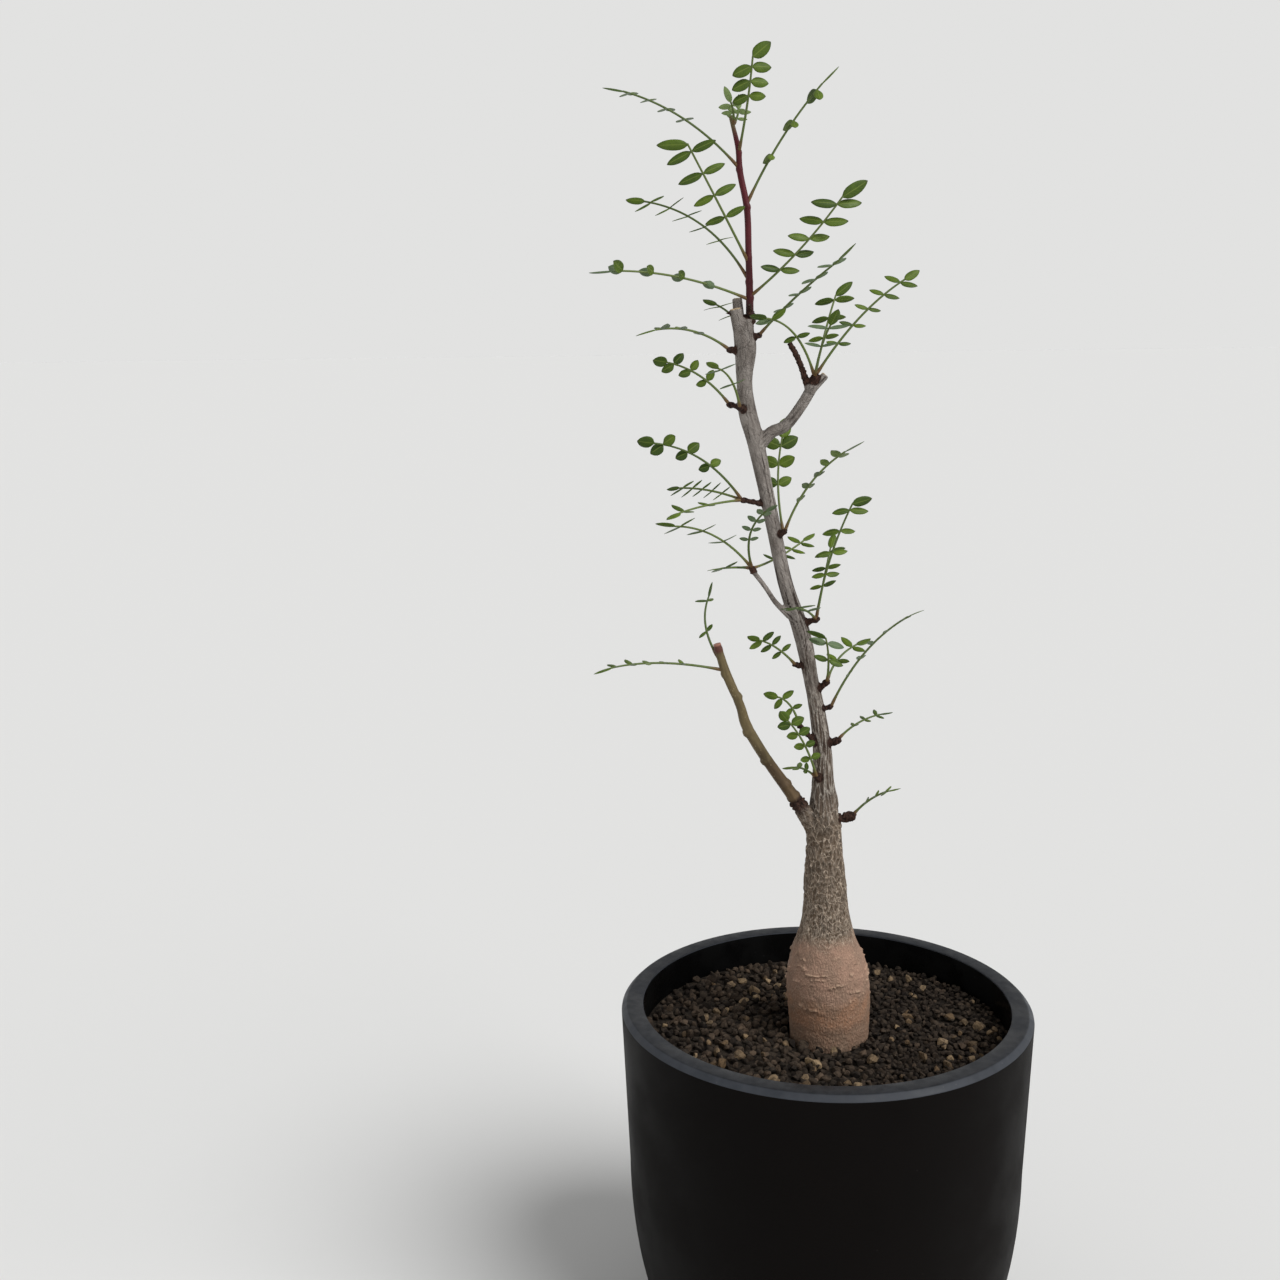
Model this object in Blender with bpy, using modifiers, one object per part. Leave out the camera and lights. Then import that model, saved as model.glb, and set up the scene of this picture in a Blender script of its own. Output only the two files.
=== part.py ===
"""Potted elephant tree, built at real size as separate closed solids.

The origin is the centre of the pot's base, on the surface that it stands on.
+Z is up and -Y faces the viewer. Sizes below are in millimetres, and MM turns
them into Blender's metres where a shape is made.
"""
import math
import random
from collections import namedtuple

import bmesh
import bpy
from mathutils import Quaternion, Vector, noise

MM = 0.001
GAP = 0.3
MERGE = 0.00001
FUSED_MERGE = 0.00004

POT_HEIGHT = 135.0
POT_RADIUS = 75.0
RIM_WIDTH = 8.0
RIM_CHAMFER = 2.0
TAPER_RADIUS = 72.6
TAPER_END = 75.0
BASE_RADIUS = 48.0
INNER_RADIUS = POT_RADIUS - RIM_WIDTH
INNER_TAPER_RADIUS = 66.3
INNER_FLOOR_RADIUS = 42.0
FLOOR_THICKNESS = 7.0
POT_STEPS = 48
ARC_STEPS = 4
DRAIN_COUNT = 5
DRAIN_RADIUS = 5.0
DRAIN_CIRCLE = 26.0

SOIL_LEVEL = POT_HEIGHT - 11.0
SOIL_STEPS = 60
SOIL_RING = 4.0
GRAIN_SIZE = 6.5
GRAIN_HEIGHT = 2.2
HOLE_RADIUS = 16.6
HOLE_FLOOR = 106.0

BUD_SWELL = 1.35
SIDE_GAP = 0.7
RACHIS_BASE = 0.45
RACHIS_END = 0.32
ROOT_WIDTH = 1.2
LEAFLET_THICKNESS = 0.7
LEAFLET_SECTIONS = ((0.35, 0.94), (0.72, 0.8))
LEAFLET_DROOP = 0.08
PAIR_ANGLE = 82.0
PAIR_TURN = 7.0
PAIR_LIFT = 12.0
LIFT_TURN = 12.0
END_GAP = 0.85
LEAST_SPREAD = 47.0
MOST_SPREAD = 117.0
END_LEAFLET = 1.2
END_TURN = 62.0
LEAST_GROWN = 0.68
RIGHT, TOP, LEFT = 1, 2, 3

# A limb's route: x, y, z and radius at the places where its course or girth changes.
CAUDEX = [
    (1.5, 0, HOLE_FLOOR + GAP, 13.2), (1.5, 0, 114, 14.0), (1.5, 0, 128, 14.7), (1, 0, 140, 15.1),
    (0.5, 0, 149, 14.3), (0, 0, 156, 12.2), (0, 0, 163, 9.4), (-0.3, 0, 172, 7.8), (-0.6, 0, 182, 7.1),
    (-1, 0, 193, 6.2), (-1, 0, 206, 5.6),
]
TRUNK = [
    (-1, 0, 200, 5.4), (-1.2, 0, 210, 4.9), (-1.6, 0.5, 219, 3.9), (-2, 1, 231, 3.3), (-4, 1, 245, 2.8),
    (-6.2, 1, 256, 2.6), (-9.5, 0, 272, 3.0), (-15.5, -1.5, 290, 2.6), (-19.5, -2.5, 308, 2.5),
    (-23.3, -3, 326, 2.6), (-26.5, -2.5, 341, 3.0), (-29, -2, 350, 3.1), (-30, -1, 360, 2.7),
    (-29.6, 0, 371, 3.7), (-30.2, 0, 377, 3.5), (-30.2, 0, 381, 3.3),
]
FORK = [(-25.5, -2.5, 338, 2.4), (-21, -3, 343, 2.1), (-16, -4, 345.5, 2.0), (-11, -5, 352, 1.9),
        (-7, -6, 359, 1.9)]
TWIG = [(-14, -1.5, 279, 1.3), (-19, -3, 284, 0.95), (-23, -5, 290, 0.85), (-27.5, -6, 296, 0.9)]
BRANCH_STUMP = [(-3, 0, 199, 3.6), (-6.5, -1, 205, 3.1), (-9.5, -2, 209.5, 2.6), (-11.5, -2.6, 212.5, 2.45)]
SIDE_BRANCH = [
    (-11.75, -2.7, 212.85, 2.3), (-16, -4, 219, 2.1), (-23, -6, 229.5, 1.9), (-29.5, -7.5, 241, 1.9),
    (-32, -8.5, 249, 1.6), (-37, -9, 261, 1.6), (-40, -9, 271, 1.3),
]
RED_SHOOT = [
    (-28.1, 0.3, 381.4, 1.35), (-28.2, 0.5, 392, 1.2), (-28.5, 1, 403, 1.1), (-29, 1.5, 417, 1.1),
    (-31.3, 2, 429, 1.05), (-32, 2, 437, 0.9), (-34.5, 2, 447, 0.6),
]
CUT_STUBS = {
    "front": [(-31, -0.8, 374, 2.3), (-33.2, -2.2, 384.5, 2.05)],
    "rear": [(-31, 1.5, 374, 2.0), (-32.2, 3.4, 388, 1.7)],
    "fork_right": [(-8, -5.8, 357, 1.6), (-3, -6.4, 362.3, 1.35)],
    "fork_left": [(-8.5, -5.6, 357, 1.3), (-11.5, -5.2, 366, 1.0), (-15, -4.6, 373, 0.95)],
}
LIMBS = {"trunk": TRUNK, "fork": FORK, "twig": TWIG, "side_branch": SIDE_BRANCH, "red_shoot": RED_SHOOT}

# A spur: the limb and height it grows from, its reach from the limb's axis, and its radius.
SPURS = {
    "crown_right": ("trunk", 374, (4.7, -1.5, 1.6), 1.1),
    "crown_left": ("trunk", 370, (-5.4, -1.2, 0.8), 1.2),
    "crown_back": ("trunk", 377, (-0.6, 4.6, 1.4), 1.1),
    "crown_low": ("trunk", 351, (-5.8, 1.5, 1.2), 1.1),
    "crown_front": ("trunk", 350, (-2.8, -4.4, 1.2), 1.1),
    "fork_bud": ("fork", 358.5, (0.8, -0.2, 3.4), 1.5),
    "left_spur": ("trunk", 318, (-9.4, -1.2, 2), 1.0),
    "twig_tip": ("twig", 295.5, (-0.8, -0.3, 1.6), 1.2),
    "right_spur": ("trunk", 306.5, (2.8, -3.4, 3), 1.0),
    "right_back": ("trunk", 306, (2.6, 3.2, 3), 1.0),
    "mid_right": ("trunk", 276, (5.8, -1.6, 2), 1.2),
    "left_bud": ("trunk", 260, (-4.8, -1.6, 1), 1.1),
    "low_right": ("trunk", 251, (4.4, -1.4, 4.4), 1.2),
    "low_right_bud": ("trunk", 245, (4.6, -2.6, 1.6), 1.0),
    "low_twig": ("trunk", 230, (-8.6, -3.4, 10), 1.1),
    "low_round": ("trunk", 231.5, (5.2, -1.6, 1.8), 1.5),
    "low_left": ("trunk", 219, (-2.8, -4.6, 2.2), 1.2),
    "foot_right": ("trunk", 203.5, (9.6, -1.6, 1.8), 1.4),
}

# A leaf: where it grows from, the offsets of its middle and its tip from there, its pairs of leaflets and
# the share of the stalk where the first pair stands, a leaflet's length and width, and its roll from lying
# flat to facing the viewer. Where the leaflets don't stand square to the stalk, aims gives the directions
# of the right and left ones as seen from the front, in degrees up from +X, and how far the right ones point
# back and the left ones forward. Where the end leaflet isn't straight on, end gives its direction.
FIELDS = "name anchor via tip pairs first length width roll aims end"
Leaf = namedtuple("Leaf", FIELDS, defaults=(None, None))
LEAVES = [
    Leaf("shoot_leaf_1", ("red_shoot", 444), (-0.5, -3, 6), (-4, -2, 12), 2, 0.4, 4.6, 1.9, 70),
    Leaf("shoot_leaf_9", ("red_shoot", 444), (2, 2.5, 5), (1, 3, 11), 2, 0.3, 4.4, 1.8, 50),
    Leaf("shoot_leaf_2", ("red_shoot", 435), (2.6, -8, 16.5), (4.2, -11, 33.3),
         3, 0.56, 6.2, 3.7, 75, (-5, 205, 0), 38),
    Leaf("shoot_leaf_3", ("red_shoot", 418), (14, 4, 24.5), (31, 8, 45),
         3, 0.34, 7.0, 3.2, 75, (240, 225, -0.8)),
    Leaf("shoot_leaf_4", ("red_shoot", 430), (-21, -4, 17), (-45, -10, 25),
         4, 0.48, 6.0, 2.6, -30, (8, 187, 1.4)),
    Leaf("shoot_leaf_5", ("red_shoot", 399.5), (-11.5, -8.5, 20.5), (-23, -17, 40.5),
         4, 0.35, 8.4, 2.9, 82, (26, 203, 0), 185),
    Leaf("shoot_leaf_6", ("red_shoot", 393), (-17.5, 8, 20.5), (-42, 15, 28.5),
         5, 0.3, 5.8, 2.6, 5, (7, 190, 0)),
    Leaf("shoot_leaf_7", ("red_shoot", 387), (-27, -8, 8), (-53.5, -17, 9),
         4, 0.23, 7.4, 3.4, 80, (162, 158, 0.9)),
    Leaf("shoot_leaf_8", ("red_shoot", 388), (18.5, -7, 17.5), (34.5, -12, 38.5),
         5, 0.27, 8.2, 3.5, 60, (18, 190, 0), 30),
    Leaf("crown_leaf_1", "crown_back", (-5, 8, 6), (-13, 14, 10), 2, 0.4, 5.5, 2.2, 0, (6, 190, 0)),
    Leaf("crown_leaf_2", "crown_right", (14.5, -10, 15), (30, -22, 27.5),
         4, 0.3, 7.0, 2.8, 10, (22, 205, 1.0)),
    Leaf("crown_leaf_3", "crown_left", (-15.5, -3, 7), (-32.5, -8, 5), 3, 0.39, 6.2, 2.9, 0),
    Leaf("crown_leaf_4", "crown_low", (-12, 4, 11), (-26.5, 10, 15), 3, 0.36, 4.8, 3.2, 65, (55, 200, 0)),
    Leaf("crown_leaf_5", "crown_front", (-4.5, -9, 11), (-12, -18, 14), 2, 0.4, 5.2, 2.2, 10, (22, 197, 0)),
    Leaf("fork_leaf_1", "fork_bud", (-9.5, -9, 16), (-23, -17, 19), 2, 0.44, 5.4, 2.8, 45, (10, 195, 0)),
    Leaf("fork_leaf_2", "fork_bud", (1, -16, 12), (4, -26, 20), 2, 0.5, 6.2, 2.8, 25, (8, 172, 0)),
    Leaf("fork_leaf_3", "fork_bud", (5.5, 12, 17.5), (10.5, 18, 31.5),
         3, 0.4, 6.2, 2.5, -60, (4, 203, 0), 40),
    Leaf("fork_leaf_4", "fork_bud", (16.5, 1, 21), (35, 4, 34.5), 5, 0.24, 5.2, 2.4, 45, (8, 183, 0)),
    Leaf("spur_leaf_1", "left_spur", (-16, -3, 15.5), (-36, -9, 20.5), 3, 0.39, 5.0, 3.9, 65, (22, 197, 0)),
    Leaf("spur_leaf_2", "left_spur", (-13, 8, 3), (-25.5, 16, 2.5), 5, 0.26, 4.6, 1.8, 5, (32, 203, 0)),
    Leaf("spur_leaf_3", "left_spur", (-14, -10, -1), (-26, -21, -3.5), 2, 0.48, 5.4, 2.6, 10),
    Leaf("twig_leaf_1", "twig_tip", (-15.5, -4, 13), (-33.5, -11, 15.5), 3, 0.37, 6.0, 2.5, 5, (8, 190, 0)),
    Leaf("twig_leaf_2", "twig_tip", (-1, -11, 14.5), (7, -16, 23.5), 4, 0.4, 3.8, 2.1, -30),
    Leaf("twig_leaf_3", "twig_tip", (12, 15, 2.5), (24.5, 27, 9), 4, 0.4, 5.4, 2.2, 15),
    Leaf("twig_leaf_4", "twig_tip", (-7, 9, -1), (-13, 20, -3.5), 2, 0.36, 5.6, 2.4, 0),
    Leaf("right_leaf_1", "right_back", (-1, 9, 20), (2.5, 14, 38), 3, 0.45, 6.2, 4.2, 80, (28, 158, 0)),
    Leaf("right_leaf_2", "right_spur", (10, -5, 19), (25, -12, 31), 5, 0.3, 6.4, 2.6, 0),
    Leaf("mid_leaf_1", "mid_right", (4.5, -5, 23.5), (12.8, -9, 45), 4, 0.35, 5.8, 2.8, 45, (6, 193, 0), 14),
    Leaf("mid_leaf_2", "mid_right", (4.2, 9, 15.5), (8, 18, 27.5), 3, 0.38, 5.6, 2.4, -60, (14, 203, 0)),
    Leaf("mid_leaf_3", "mid_right", (-6, -10, 5.5), (-12.5, -20, 7), 2, 0.4, 6.0, 2.6, -10),
    Leaf("low_leaf_1", "low_right", (-0.5, -7, 11), (-3, -15, 20.5),
         2, 0.42, 6.0, 3.2, 40, (-20, 165, 0), 170),
    Leaf("low_leaf_2", "low_right", (6.5, 6, 9), (18, 12, 13), 2, 0.42, 5.4, 2.5, 20),
    Leaf("low_leaf_3", "low_right_bud", (12.5, -6, 22.5), (29, -14, 37), 5, 0.26, 5.4, 2.0, 0),
    Leaf("low_leaf_4", "left_bud", (-9, -6, 8.5), (-17.5, -14, 12), 3, 0.33, 5.0, 2.1, 60, (41, 209, 0)),
    Leaf("low_leaf_5", "low_left", (-6, -8, 15.5), (-14.5, -16, 27.5), 4, 0.25, 4.4, 3.0, 75, (30, 190, 0)),
    Leaf("low_leaf_6", "low_twig", (-5, 3, 8.5), (-13, 5, 8.5), 2, 0.36, 4.6, 2.3, 55, (20, 235, 0)),
    Leaf("low_leaf_7", "low_left", (-6.5, 1, 3.5), (-11.5, 5, 0.5), 2, 0.36, 4.4, 2.0, 10),
    Leaf("low_leaf_8", "low_round", (9.5, 3, 6.5), (21, 6, 8.5), 3, 0.36, 4.4, 1.5, 0),
    Leaf("foot_leaf", "foot_right", (7.5, -3, 8), (16, -8, 12.5), 3, 0.36, 4.2, 1.6, 0),
    Leaf("branch_leaf_1", ("side_branch", 261.5), (-24.5, -5, 4), (-44.5, -12, 2.5), 5, 0.3, 5.6, 2.2, 0),
    Leaf("branch_leaf_2", ("side_branch", 263.5), (-6, 6, 14.5), (-1.5, 14, 27),
         2, 0.36, 5.2, 1.9, 20, (60, 225, 1.0)),
]
Course = namedtuple("Course", "origin control tip start end")


def clear_scene():
    """Remove every object that the open scene already holds."""
    for obj in list(bpy.data.objects):
        bpy.data.objects.remove(obj, do_unlink=True)


def new_collection(name):
    """Return a new collection linked to the scene."""
    collection = bpy.data.collections.new(name)
    bpy.context.scene.collection.children.link(collection)
    return collection


def make_material(name, color, roughness):
    """Return a plain Principled material."""
    material = bpy.data.materials.new(name)
    material.use_nodes = True
    shader = material.node_tree.nodes["Principled BSDF"]
    shader.inputs["Base Color"].default_value = (*color, 1.0)
    shader.inputs["Roughness"].default_value = roughness
    shader.inputs["Metallic"].default_value = 0.0
    return material


def add_object(name, mesh, collection, material=None):
    """Put a mesh in the scene as a smooth-shaded object."""
    obj = bpy.data.objects.new(name, mesh)
    collection.objects.link(obj)
    if material:
        mesh.materials.clear()
        mesh.materials.append(material)
    mesh.shade_smooth()
    mesh.set_sharp_from_angle(angle=math.radians(35))
    return obj


def evaluated_mesh(obj):
    """Return the mesh that the object's modifiers or curve settings give."""
    depsgraph = bpy.context.evaluated_depsgraph_get()
    return bpy.data.meshes.new_from_object(obj.evaluated_get(depsgraph), depsgraph=depsgraph)


def spline_point(points, position):
    """Return the point at a position along a smooth curve through all the points."""
    last = len(points) - 1
    index = min(int(position), last - 1)
    t = position - index
    near = [Vector(points[min(max(index + k, 0), last)]) for k in (-1, 0, 1, 2)]
    a, b, c, d = near
    return 0.5 * (2 * b + (c - a) * t + (2 * a - 5 * b + 4 * c - d) * t * t
                  + (3 * b - a - 3 * c + d) * t ** 3)


def smooth_route(points, spacing):
    """Return evenly spaced points of x, y, z and radius along a limb."""
    fine = [spline_point(points, k / 20) for k in range(20 * (len(points) - 1) + 1)]
    lengths = [0.0]
    for a, b in zip(fine, fine[1:]):
        lengths.append(lengths[-1] + (b.to_3d() - a.to_3d()).length)
    count = max(1, round(lengths[-1] / spacing))
    route, k = [], 0
    for step in range(count + 1):
        wanted = lengths[-1] * step / count
        while k < len(fine) - 2 and lengths[k + 1] < wanted:
            k += 1
        share = (wanted - lengths[k]) / (lengths[k + 1] - lengths[k])
        route.append(fine[k].lerp(fine[k + 1], min(share, 1.0)))
    return route


def place_on(limb, height):
    """Return the axis point and radius of a limb at a height."""
    route = smooth_route(LIMBS[limb], 1.0)
    best = min(route, key=lambda point: abs(point.z - height))
    return best.to_3d(), best.w


def spur_tip(name):
    """Return the end point of a spur and the radius of the bud on it."""
    limb, height, reach, radius = SPURS[name]
    axis, _ = place_on(limb, height)
    return axis + Vector(reach), radius * BUD_SWELL


def tube(name, route, sides, collection):
    """Return a closed tube along a route, with a flat cap at each end."""
    curve = bpy.data.curves.new(name, "CURVE")
    curve.dimensions = "3D"
    curve.fill_mode = "FULL"
    curve.bevel_mode = "ROUND"
    curve.bevel_depth = MM
    curve.bevel_resolution = sides // 2 - 2
    curve.use_fill_caps = True
    spline = curve.splines.new("POLY")
    spline.points.add(len(route) - 1)
    for spline_end, point in zip(spline.points, route):
        spline_end.co = (*(point.to_3d() * MM), 1.0)
        spline_end.radius = point.w
    holder = bpy.data.objects.new(name, curve)
    collection.objects.link(holder)
    bpy.context.view_layer.update()
    mesh = evaluated_mesh(holder)
    bpy.data.objects.remove(holder, do_unlink=True)
    bpy.data.curves.remove(curve)
    weld(mesh)
    return add_object(name, mesh, collection)


def weld(mesh, distance=MERGE):
    """Join a mesh's coincident points and turn its faces outwards."""
    shape = bmesh.new()
    shape.from_mesh(mesh)
    bmesh.ops.remove_doubles(shape, verts=shape.verts, dist=distance)
    bmesh.ops.recalc_face_normals(shape, faces=shape.faces)
    shape.to_mesh(mesh)
    shape.free()


def fuse(name, pieces, material, collection):
    """Join overlapping closed pieces into one solid and remove the pieces."""
    body, *others = pieces
    union = bpy.data.collections.new(name + "_pieces")
    for piece in others:
        union.objects.link(piece)
    modifier = body.modifiers.new("Union", "BOOLEAN")
    modifier.operation = "UNION"
    modifier.operand_type = "COLLECTION"
    modifier.collection = union
    bpy.context.view_layer.update()
    mesh = evaluated_mesh(body)
    for piece in pieces:
        bpy.data.objects.remove(piece, do_unlink=True)
    bpy.data.collections.remove(union)
    weld(mesh, FUSED_MERGE)
    mesh.name = name
    return add_object(name, mesh, collection, material)


def turned(name, profile, steps, collection):
    """Return a profile of radius and height turned about Z with a Screw modifier."""
    mesh = bpy.data.meshes.new(name)
    points = [(radius * MM, 0.0, height * MM) for radius, height in profile]
    mesh.from_pydata(points, [(k, k + 1) for k in range(len(points) - 1)], [])
    holder = bpy.data.objects.new(name, mesh)
    collection.objects.link(holder)
    screw = holder.modifiers.new("Turn", "SCREW")
    screw.steps = steps
    screw.render_steps = steps
    screw.use_merge_vertices = True
    screw.merge_threshold = MERGE
    bpy.context.view_layer.update()
    solid = evaluated_mesh(holder)
    bpy.data.objects.remove(holder, do_unlink=True)
    weld(solid)
    return add_object(name, solid, collection)


def quarter_ellipse(start, end, count):
    """Return points from a vertical wall at start round to a horizontal floor at end."""
    angles = [math.pi / 2 * k / count for k in range(count + 1)]
    return [(end[0] + (start[0] - end[0]) * math.cos(a), start[1] + (end[1] - start[1]) * math.sin(a))
            for a in angles]


def inner_wall(offset, top):
    """Return the pot's inner wall and floor, moved inwards by an offset."""
    taper_end = (INNER_TAPER_RADIUS - offset, TAPER_END)
    floor = (INNER_FLOOR_RADIUS - offset, FLOOR_THICKNESS + offset)
    return [(INNER_RADIUS - offset, top), *quarter_ellipse(taper_end, floor, ARC_STEPS)]


def build_pot(collection, cutters, material):
    """Build the pot's shell and cut the drainage holes round its solid centre."""
    outer = [(POT_RADIUS - RIM_CHAMFER, POT_HEIGHT), (POT_RADIUS, POT_HEIGHT - RIM_CHAMFER),
             *quarter_ellipse((TAPER_RADIUS, TAPER_END), (BASE_RADIUS, 0.0), ARC_STEPS), (0.0, 0.0)]
    inner = [*inner_wall(0.0, POT_HEIGHT), (0.0, FLOOR_THICKNESS)]
    pot = turned("pot", [*reversed(inner), *outer], POT_STEPS, collection)
    pot.data.materials.append(material)
    for k in range(DRAIN_COUNT):
        add_drain(pot, 2 * math.pi * k / DRAIN_COUNT, cutters)
    return pot


def add_drain(pot, angle, cutters):
    """Cut one drainage hole through the pot's floor."""
    shape = bmesh.new()
    bmesh.ops.create_cone(shape, cap_ends=True, segments=12, radius1=DRAIN_RADIUS * MM,
                          radius2=DRAIN_RADIUS * MM, depth=4 * FLOOR_THICKNESS * MM)
    mesh = bpy.data.meshes.new("drain")
    shape.to_mesh(mesh)
    shape.free()
    cutter = bpy.data.objects.new("drain", mesh)
    cutters.objects.link(cutter)
    cutter.location = (DRAIN_CIRCLE * MM * math.cos(angle), DRAIN_CIRCLE * MM * math.sin(angle), 0)
    cutter.hide_render = True
    cutter.display_type = "WIRE"
    cut = pot.modifiers.new("Drain", "BOOLEAN")
    cut.operation = "DIFFERENCE"
    cut.object = cutter


def grain_height(x, y):
    """Return the height of the grit above the soil's level, in millimetres."""
    distances, _ = noise.voronoi(Vector((x, y, 0)) / GRAIN_SIZE)
    bump = max(0.0, 1.0 - (distances[0] * 1.5) ** 2)
    return GRAIN_HEIGHT * (bump - 0.5) + noise.noise(Vector((x, y, 9)) / 30) * 1.2


def build_soil(collection, material):
    """Build the soil that fills the pot, with grit in relief and a plain hole for the plant."""
    rings = round((INNER_RADIUS - HOLE_RADIUS) / SOIL_RING)
    top_edge = INNER_RADIUS - GAP
    top = [(top_edge + (HOLE_RADIUS - top_edge) * k / rings, SOIL_LEVEL) for k in range(1, rings + 1)]
    wall = inner_wall(GAP, SOIL_LEVEL)
    profile = [(0.0, HOLE_FLOOR), (HOLE_RADIUS, HOLE_FLOOR), *reversed(top), *wall,
               (0.0, FLOOR_THICKNESS + GAP)]
    soil = turned("soil", profile, SOIL_STEPS, collection)
    soil.data.materials.append(material)
    for vertex in soil.data.vertices:
        x, y, z = vertex.co / MM
        if abs(z - SOIL_LEVEL) < 0.01 and math.hypot(x, y) < top_edge - 0.01:
            vertex.co.z += grain_height(x, y) * MM
    return soil


def fade(value, start, end):
    """Return 0 before start, 1 after end, and a smooth step between them."""
    t = min(max((value - start) / (end - start), 0.0), 1.0)
    return t * t * (3 - 2 * t)


def bark_height(point):
    """Return how far the bark stands out at a point, in millimetres."""
    x, y, z = point
    distances, _ = noise.voronoi(Vector((x / 5.5, y / 5.5, z / 8.5)))
    net = 1.0 - fade(distances[1] - distances[0], 0.05, 0.38)
    on_net = fade(z, 152, 164) * (1 - 0.55 * fade(z, 235, 260))
    scars = fade(noise.noise(Vector((x / 9, y / 9, z / 2.2))), 0.15, 0.5) * (1 - fade(z, 150, 160))
    in_air = fade(z, SOIL_LEVEL + 1, SOIL_LEVEL + 5)
    return in_air * (0.75 * net * on_net + 0.5 * scars - 0.15)


def raise_bark(obj, largest):
    """Move a limb's skin in and out by the bark's relief."""
    normals = [Vector(vertex.normal) for vertex in obj.data.vertices]
    for vertex, normal in zip(obj.data.vertices, normals):
        if abs(normal.z) < 0.9:
            vertex.co += normal * min(bark_height(vertex.co / MM), largest) * MM


def add_spur(name, collection):
    """Return a spur with its swollen bud, from inside the limb that it grows on."""
    limb, height, reach, radius = SPURS[name]
    axis, _ = place_on(limb, height)
    end, swell = spur_tip(name)
    ahead = Vector(reach).normalized()
    points = [(*axis, radius * 1.3), (*(end - ahead * swell), radius), (*end, swell),
              (*(end + ahead * swell * 0.8), swell * 0.6)]
    return tube(name, [Vector(point) for point in points], 6, collection)


def build_trunk(collection, material):
    """Build the swollen base, the trunk, its fork, stubs, twig, spurs and buds as one solid."""
    caudex = tube("caudex", smooth_route(CAUDEX, 3.8), 24, collection)
    raise_bark(caudex, 1.0)
    trunk = tube("trunk", smooth_route(TRUNK, 4.5), 12, collection)
    raise_bark(trunk, 0.45)
    pieces = [caudex, trunk, tube("fork", smooth_route(FORK, 3.5), 8, collection),
              tube("twig", smooth_route(TWIG, 4), 6, collection),
              tube("stump", smooth_route(BRANCH_STUMP, 4), 8, collection)]
    for name, points in CUT_STUBS.items():
        pieces.append(tube(name, smooth_route(points, 4), 8, collection))
    for name in SPURS:
        pieces.append(add_spur(name, collection))
    return fuse("trunk", pieces, material, collection)


def distance_to(limb, point):
    """Return how far a point lies from a limb's skin."""
    return min((point - place.to_3d()).length - place.w for place in smooth_route(LIMBS[limb], 1.0))


def leaf_place(course, share):
    """Return the point at a share of a rachis."""
    t = course.start + (course.end - course.start) * share
    return course.origin + 2 * t * (1 - t) * course.control + t * t * course.tip


def leaf_heading(course, share):
    """Return the way that a rachis runs at a share of it."""
    t = course.start + (course.end - course.start) * share
    return ((1 - 2 * t) * course.control + t * course.tip).normalized()


def leaf_course(leaf):
    """Return a rachis's course, from clear of what it grows on to the root of its end leaflet."""
    on_spur = isinstance(leaf.anchor, str)
    origin, bud = spur_tip(leaf.anchor) if on_spur else place_on(*leaf.anchor)
    via, tip = Vector(leaf.via), Vector(leaf.tip)
    whole = Course(origin, 2 * via - tip / 2, tip, 0.0, 1.0)
    start = 0.0
    while (leaf_place(whole, start) - origin).length < bud + GAP:
        start += 0.002
    while not on_spur and distance_to(leaf.anchor[0], leaf_place(whole, start)) < SIDE_GAP:
        start += 0.002
    forward = leaf_heading(whole, 1.0)
    reach = leaf.length * END_LEAFLET * end_heading(leaf, forward).dot(forward)
    return whole._replace(start=start, end=1.0 - reach / tip.length)


def blade_normal(direction, roll):
    """Return a blade's upper side: up when the roll is 0, towards the viewer at 90."""
    up = Vector((0, 0, 1))
    viewer = Vector((0, -1, 0))
    aim = up * math.cos(math.radians(roll)) + viewer * math.sin(math.radians(roll))
    aim -= direction * aim.dot(direction)
    if aim.length < 0.2:
        aim = viewer - direction * viewer.dot(direction)
    return aim.normalized()


def leaflet_aim(leaf, hand, turn=0.0, lift=0.0):
    """Return where the right or left leaflets of a leaf with given aims point."""
    right, left, depth = leaf.aims
    slope = math.radians((right if hand > 0 else left) + turn)
    away = depth * hand + math.sin(math.radians(lift))
    return Vector((math.cos(slope), away, math.sin(slope))).normalized()


def rachis_frame(leaf, forward):
    """Return a rachis's right-hand side and its upper side."""
    if leaf.aims:
        side = leaflet_aim(leaf, 1) - leaflet_aim(leaf, -1)
    else:
        side = forward.cross(blade_normal(forward, leaf.roll))
    side = (side - forward * side.dot(forward)).normalized()
    return side, side.cross(forward)


def ring(shape, centre, across, up, half_width, half_height):
    """Add the four corners of a flat section."""
    corners = ((-1, -1), (1, -1), (1, 1), (-1, 1))
    return [shape.verts.new((centre + across * half_width * i + up * half_height * j) * MM)
            for i, j in corners]


def skin(shape, start, end, open_sides=()):
    """Join two sections, with the diagonals alike above and below."""
    for k in range(4):
        if k in open_sides:
            continue
        a, b, c, d = start[k], start[(k + 1) % 4], end[(k + 1) % 4], end[k]
        halves = ((a, b, d), (b, c, d)) if k == TOP else ((a, b, c), (a, c, d))
        for half in halves:
            shape.faces.new(half)


def grow_leaflet(shape, root, along, across, normal, length, width):
    """Loft a leaflet from the section that it grows out of to its pointed tip."""
    centre = sum((corner.co for corner in root), Vector()) / (4 * MM)
    section = root
    for share, girth in LEAFLET_SECTIONS:
        bend = normal * (-LEAFLET_DROOP * length * share * share)
        wider = ring(shape, centre + along * length * share + bend, across, normal,
                     width * girth / 2, LEAFLET_THICKNESS / 2)
        skin(shape, section, wider)
        section = wider
    tip = shape.verts.new((centre + along * length - normal * LEAFLET_DROOP * length) * MM)
    for k in range(4):
        shape.faces.new((section[k], section[(k + 1) % 4], tip))


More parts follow.
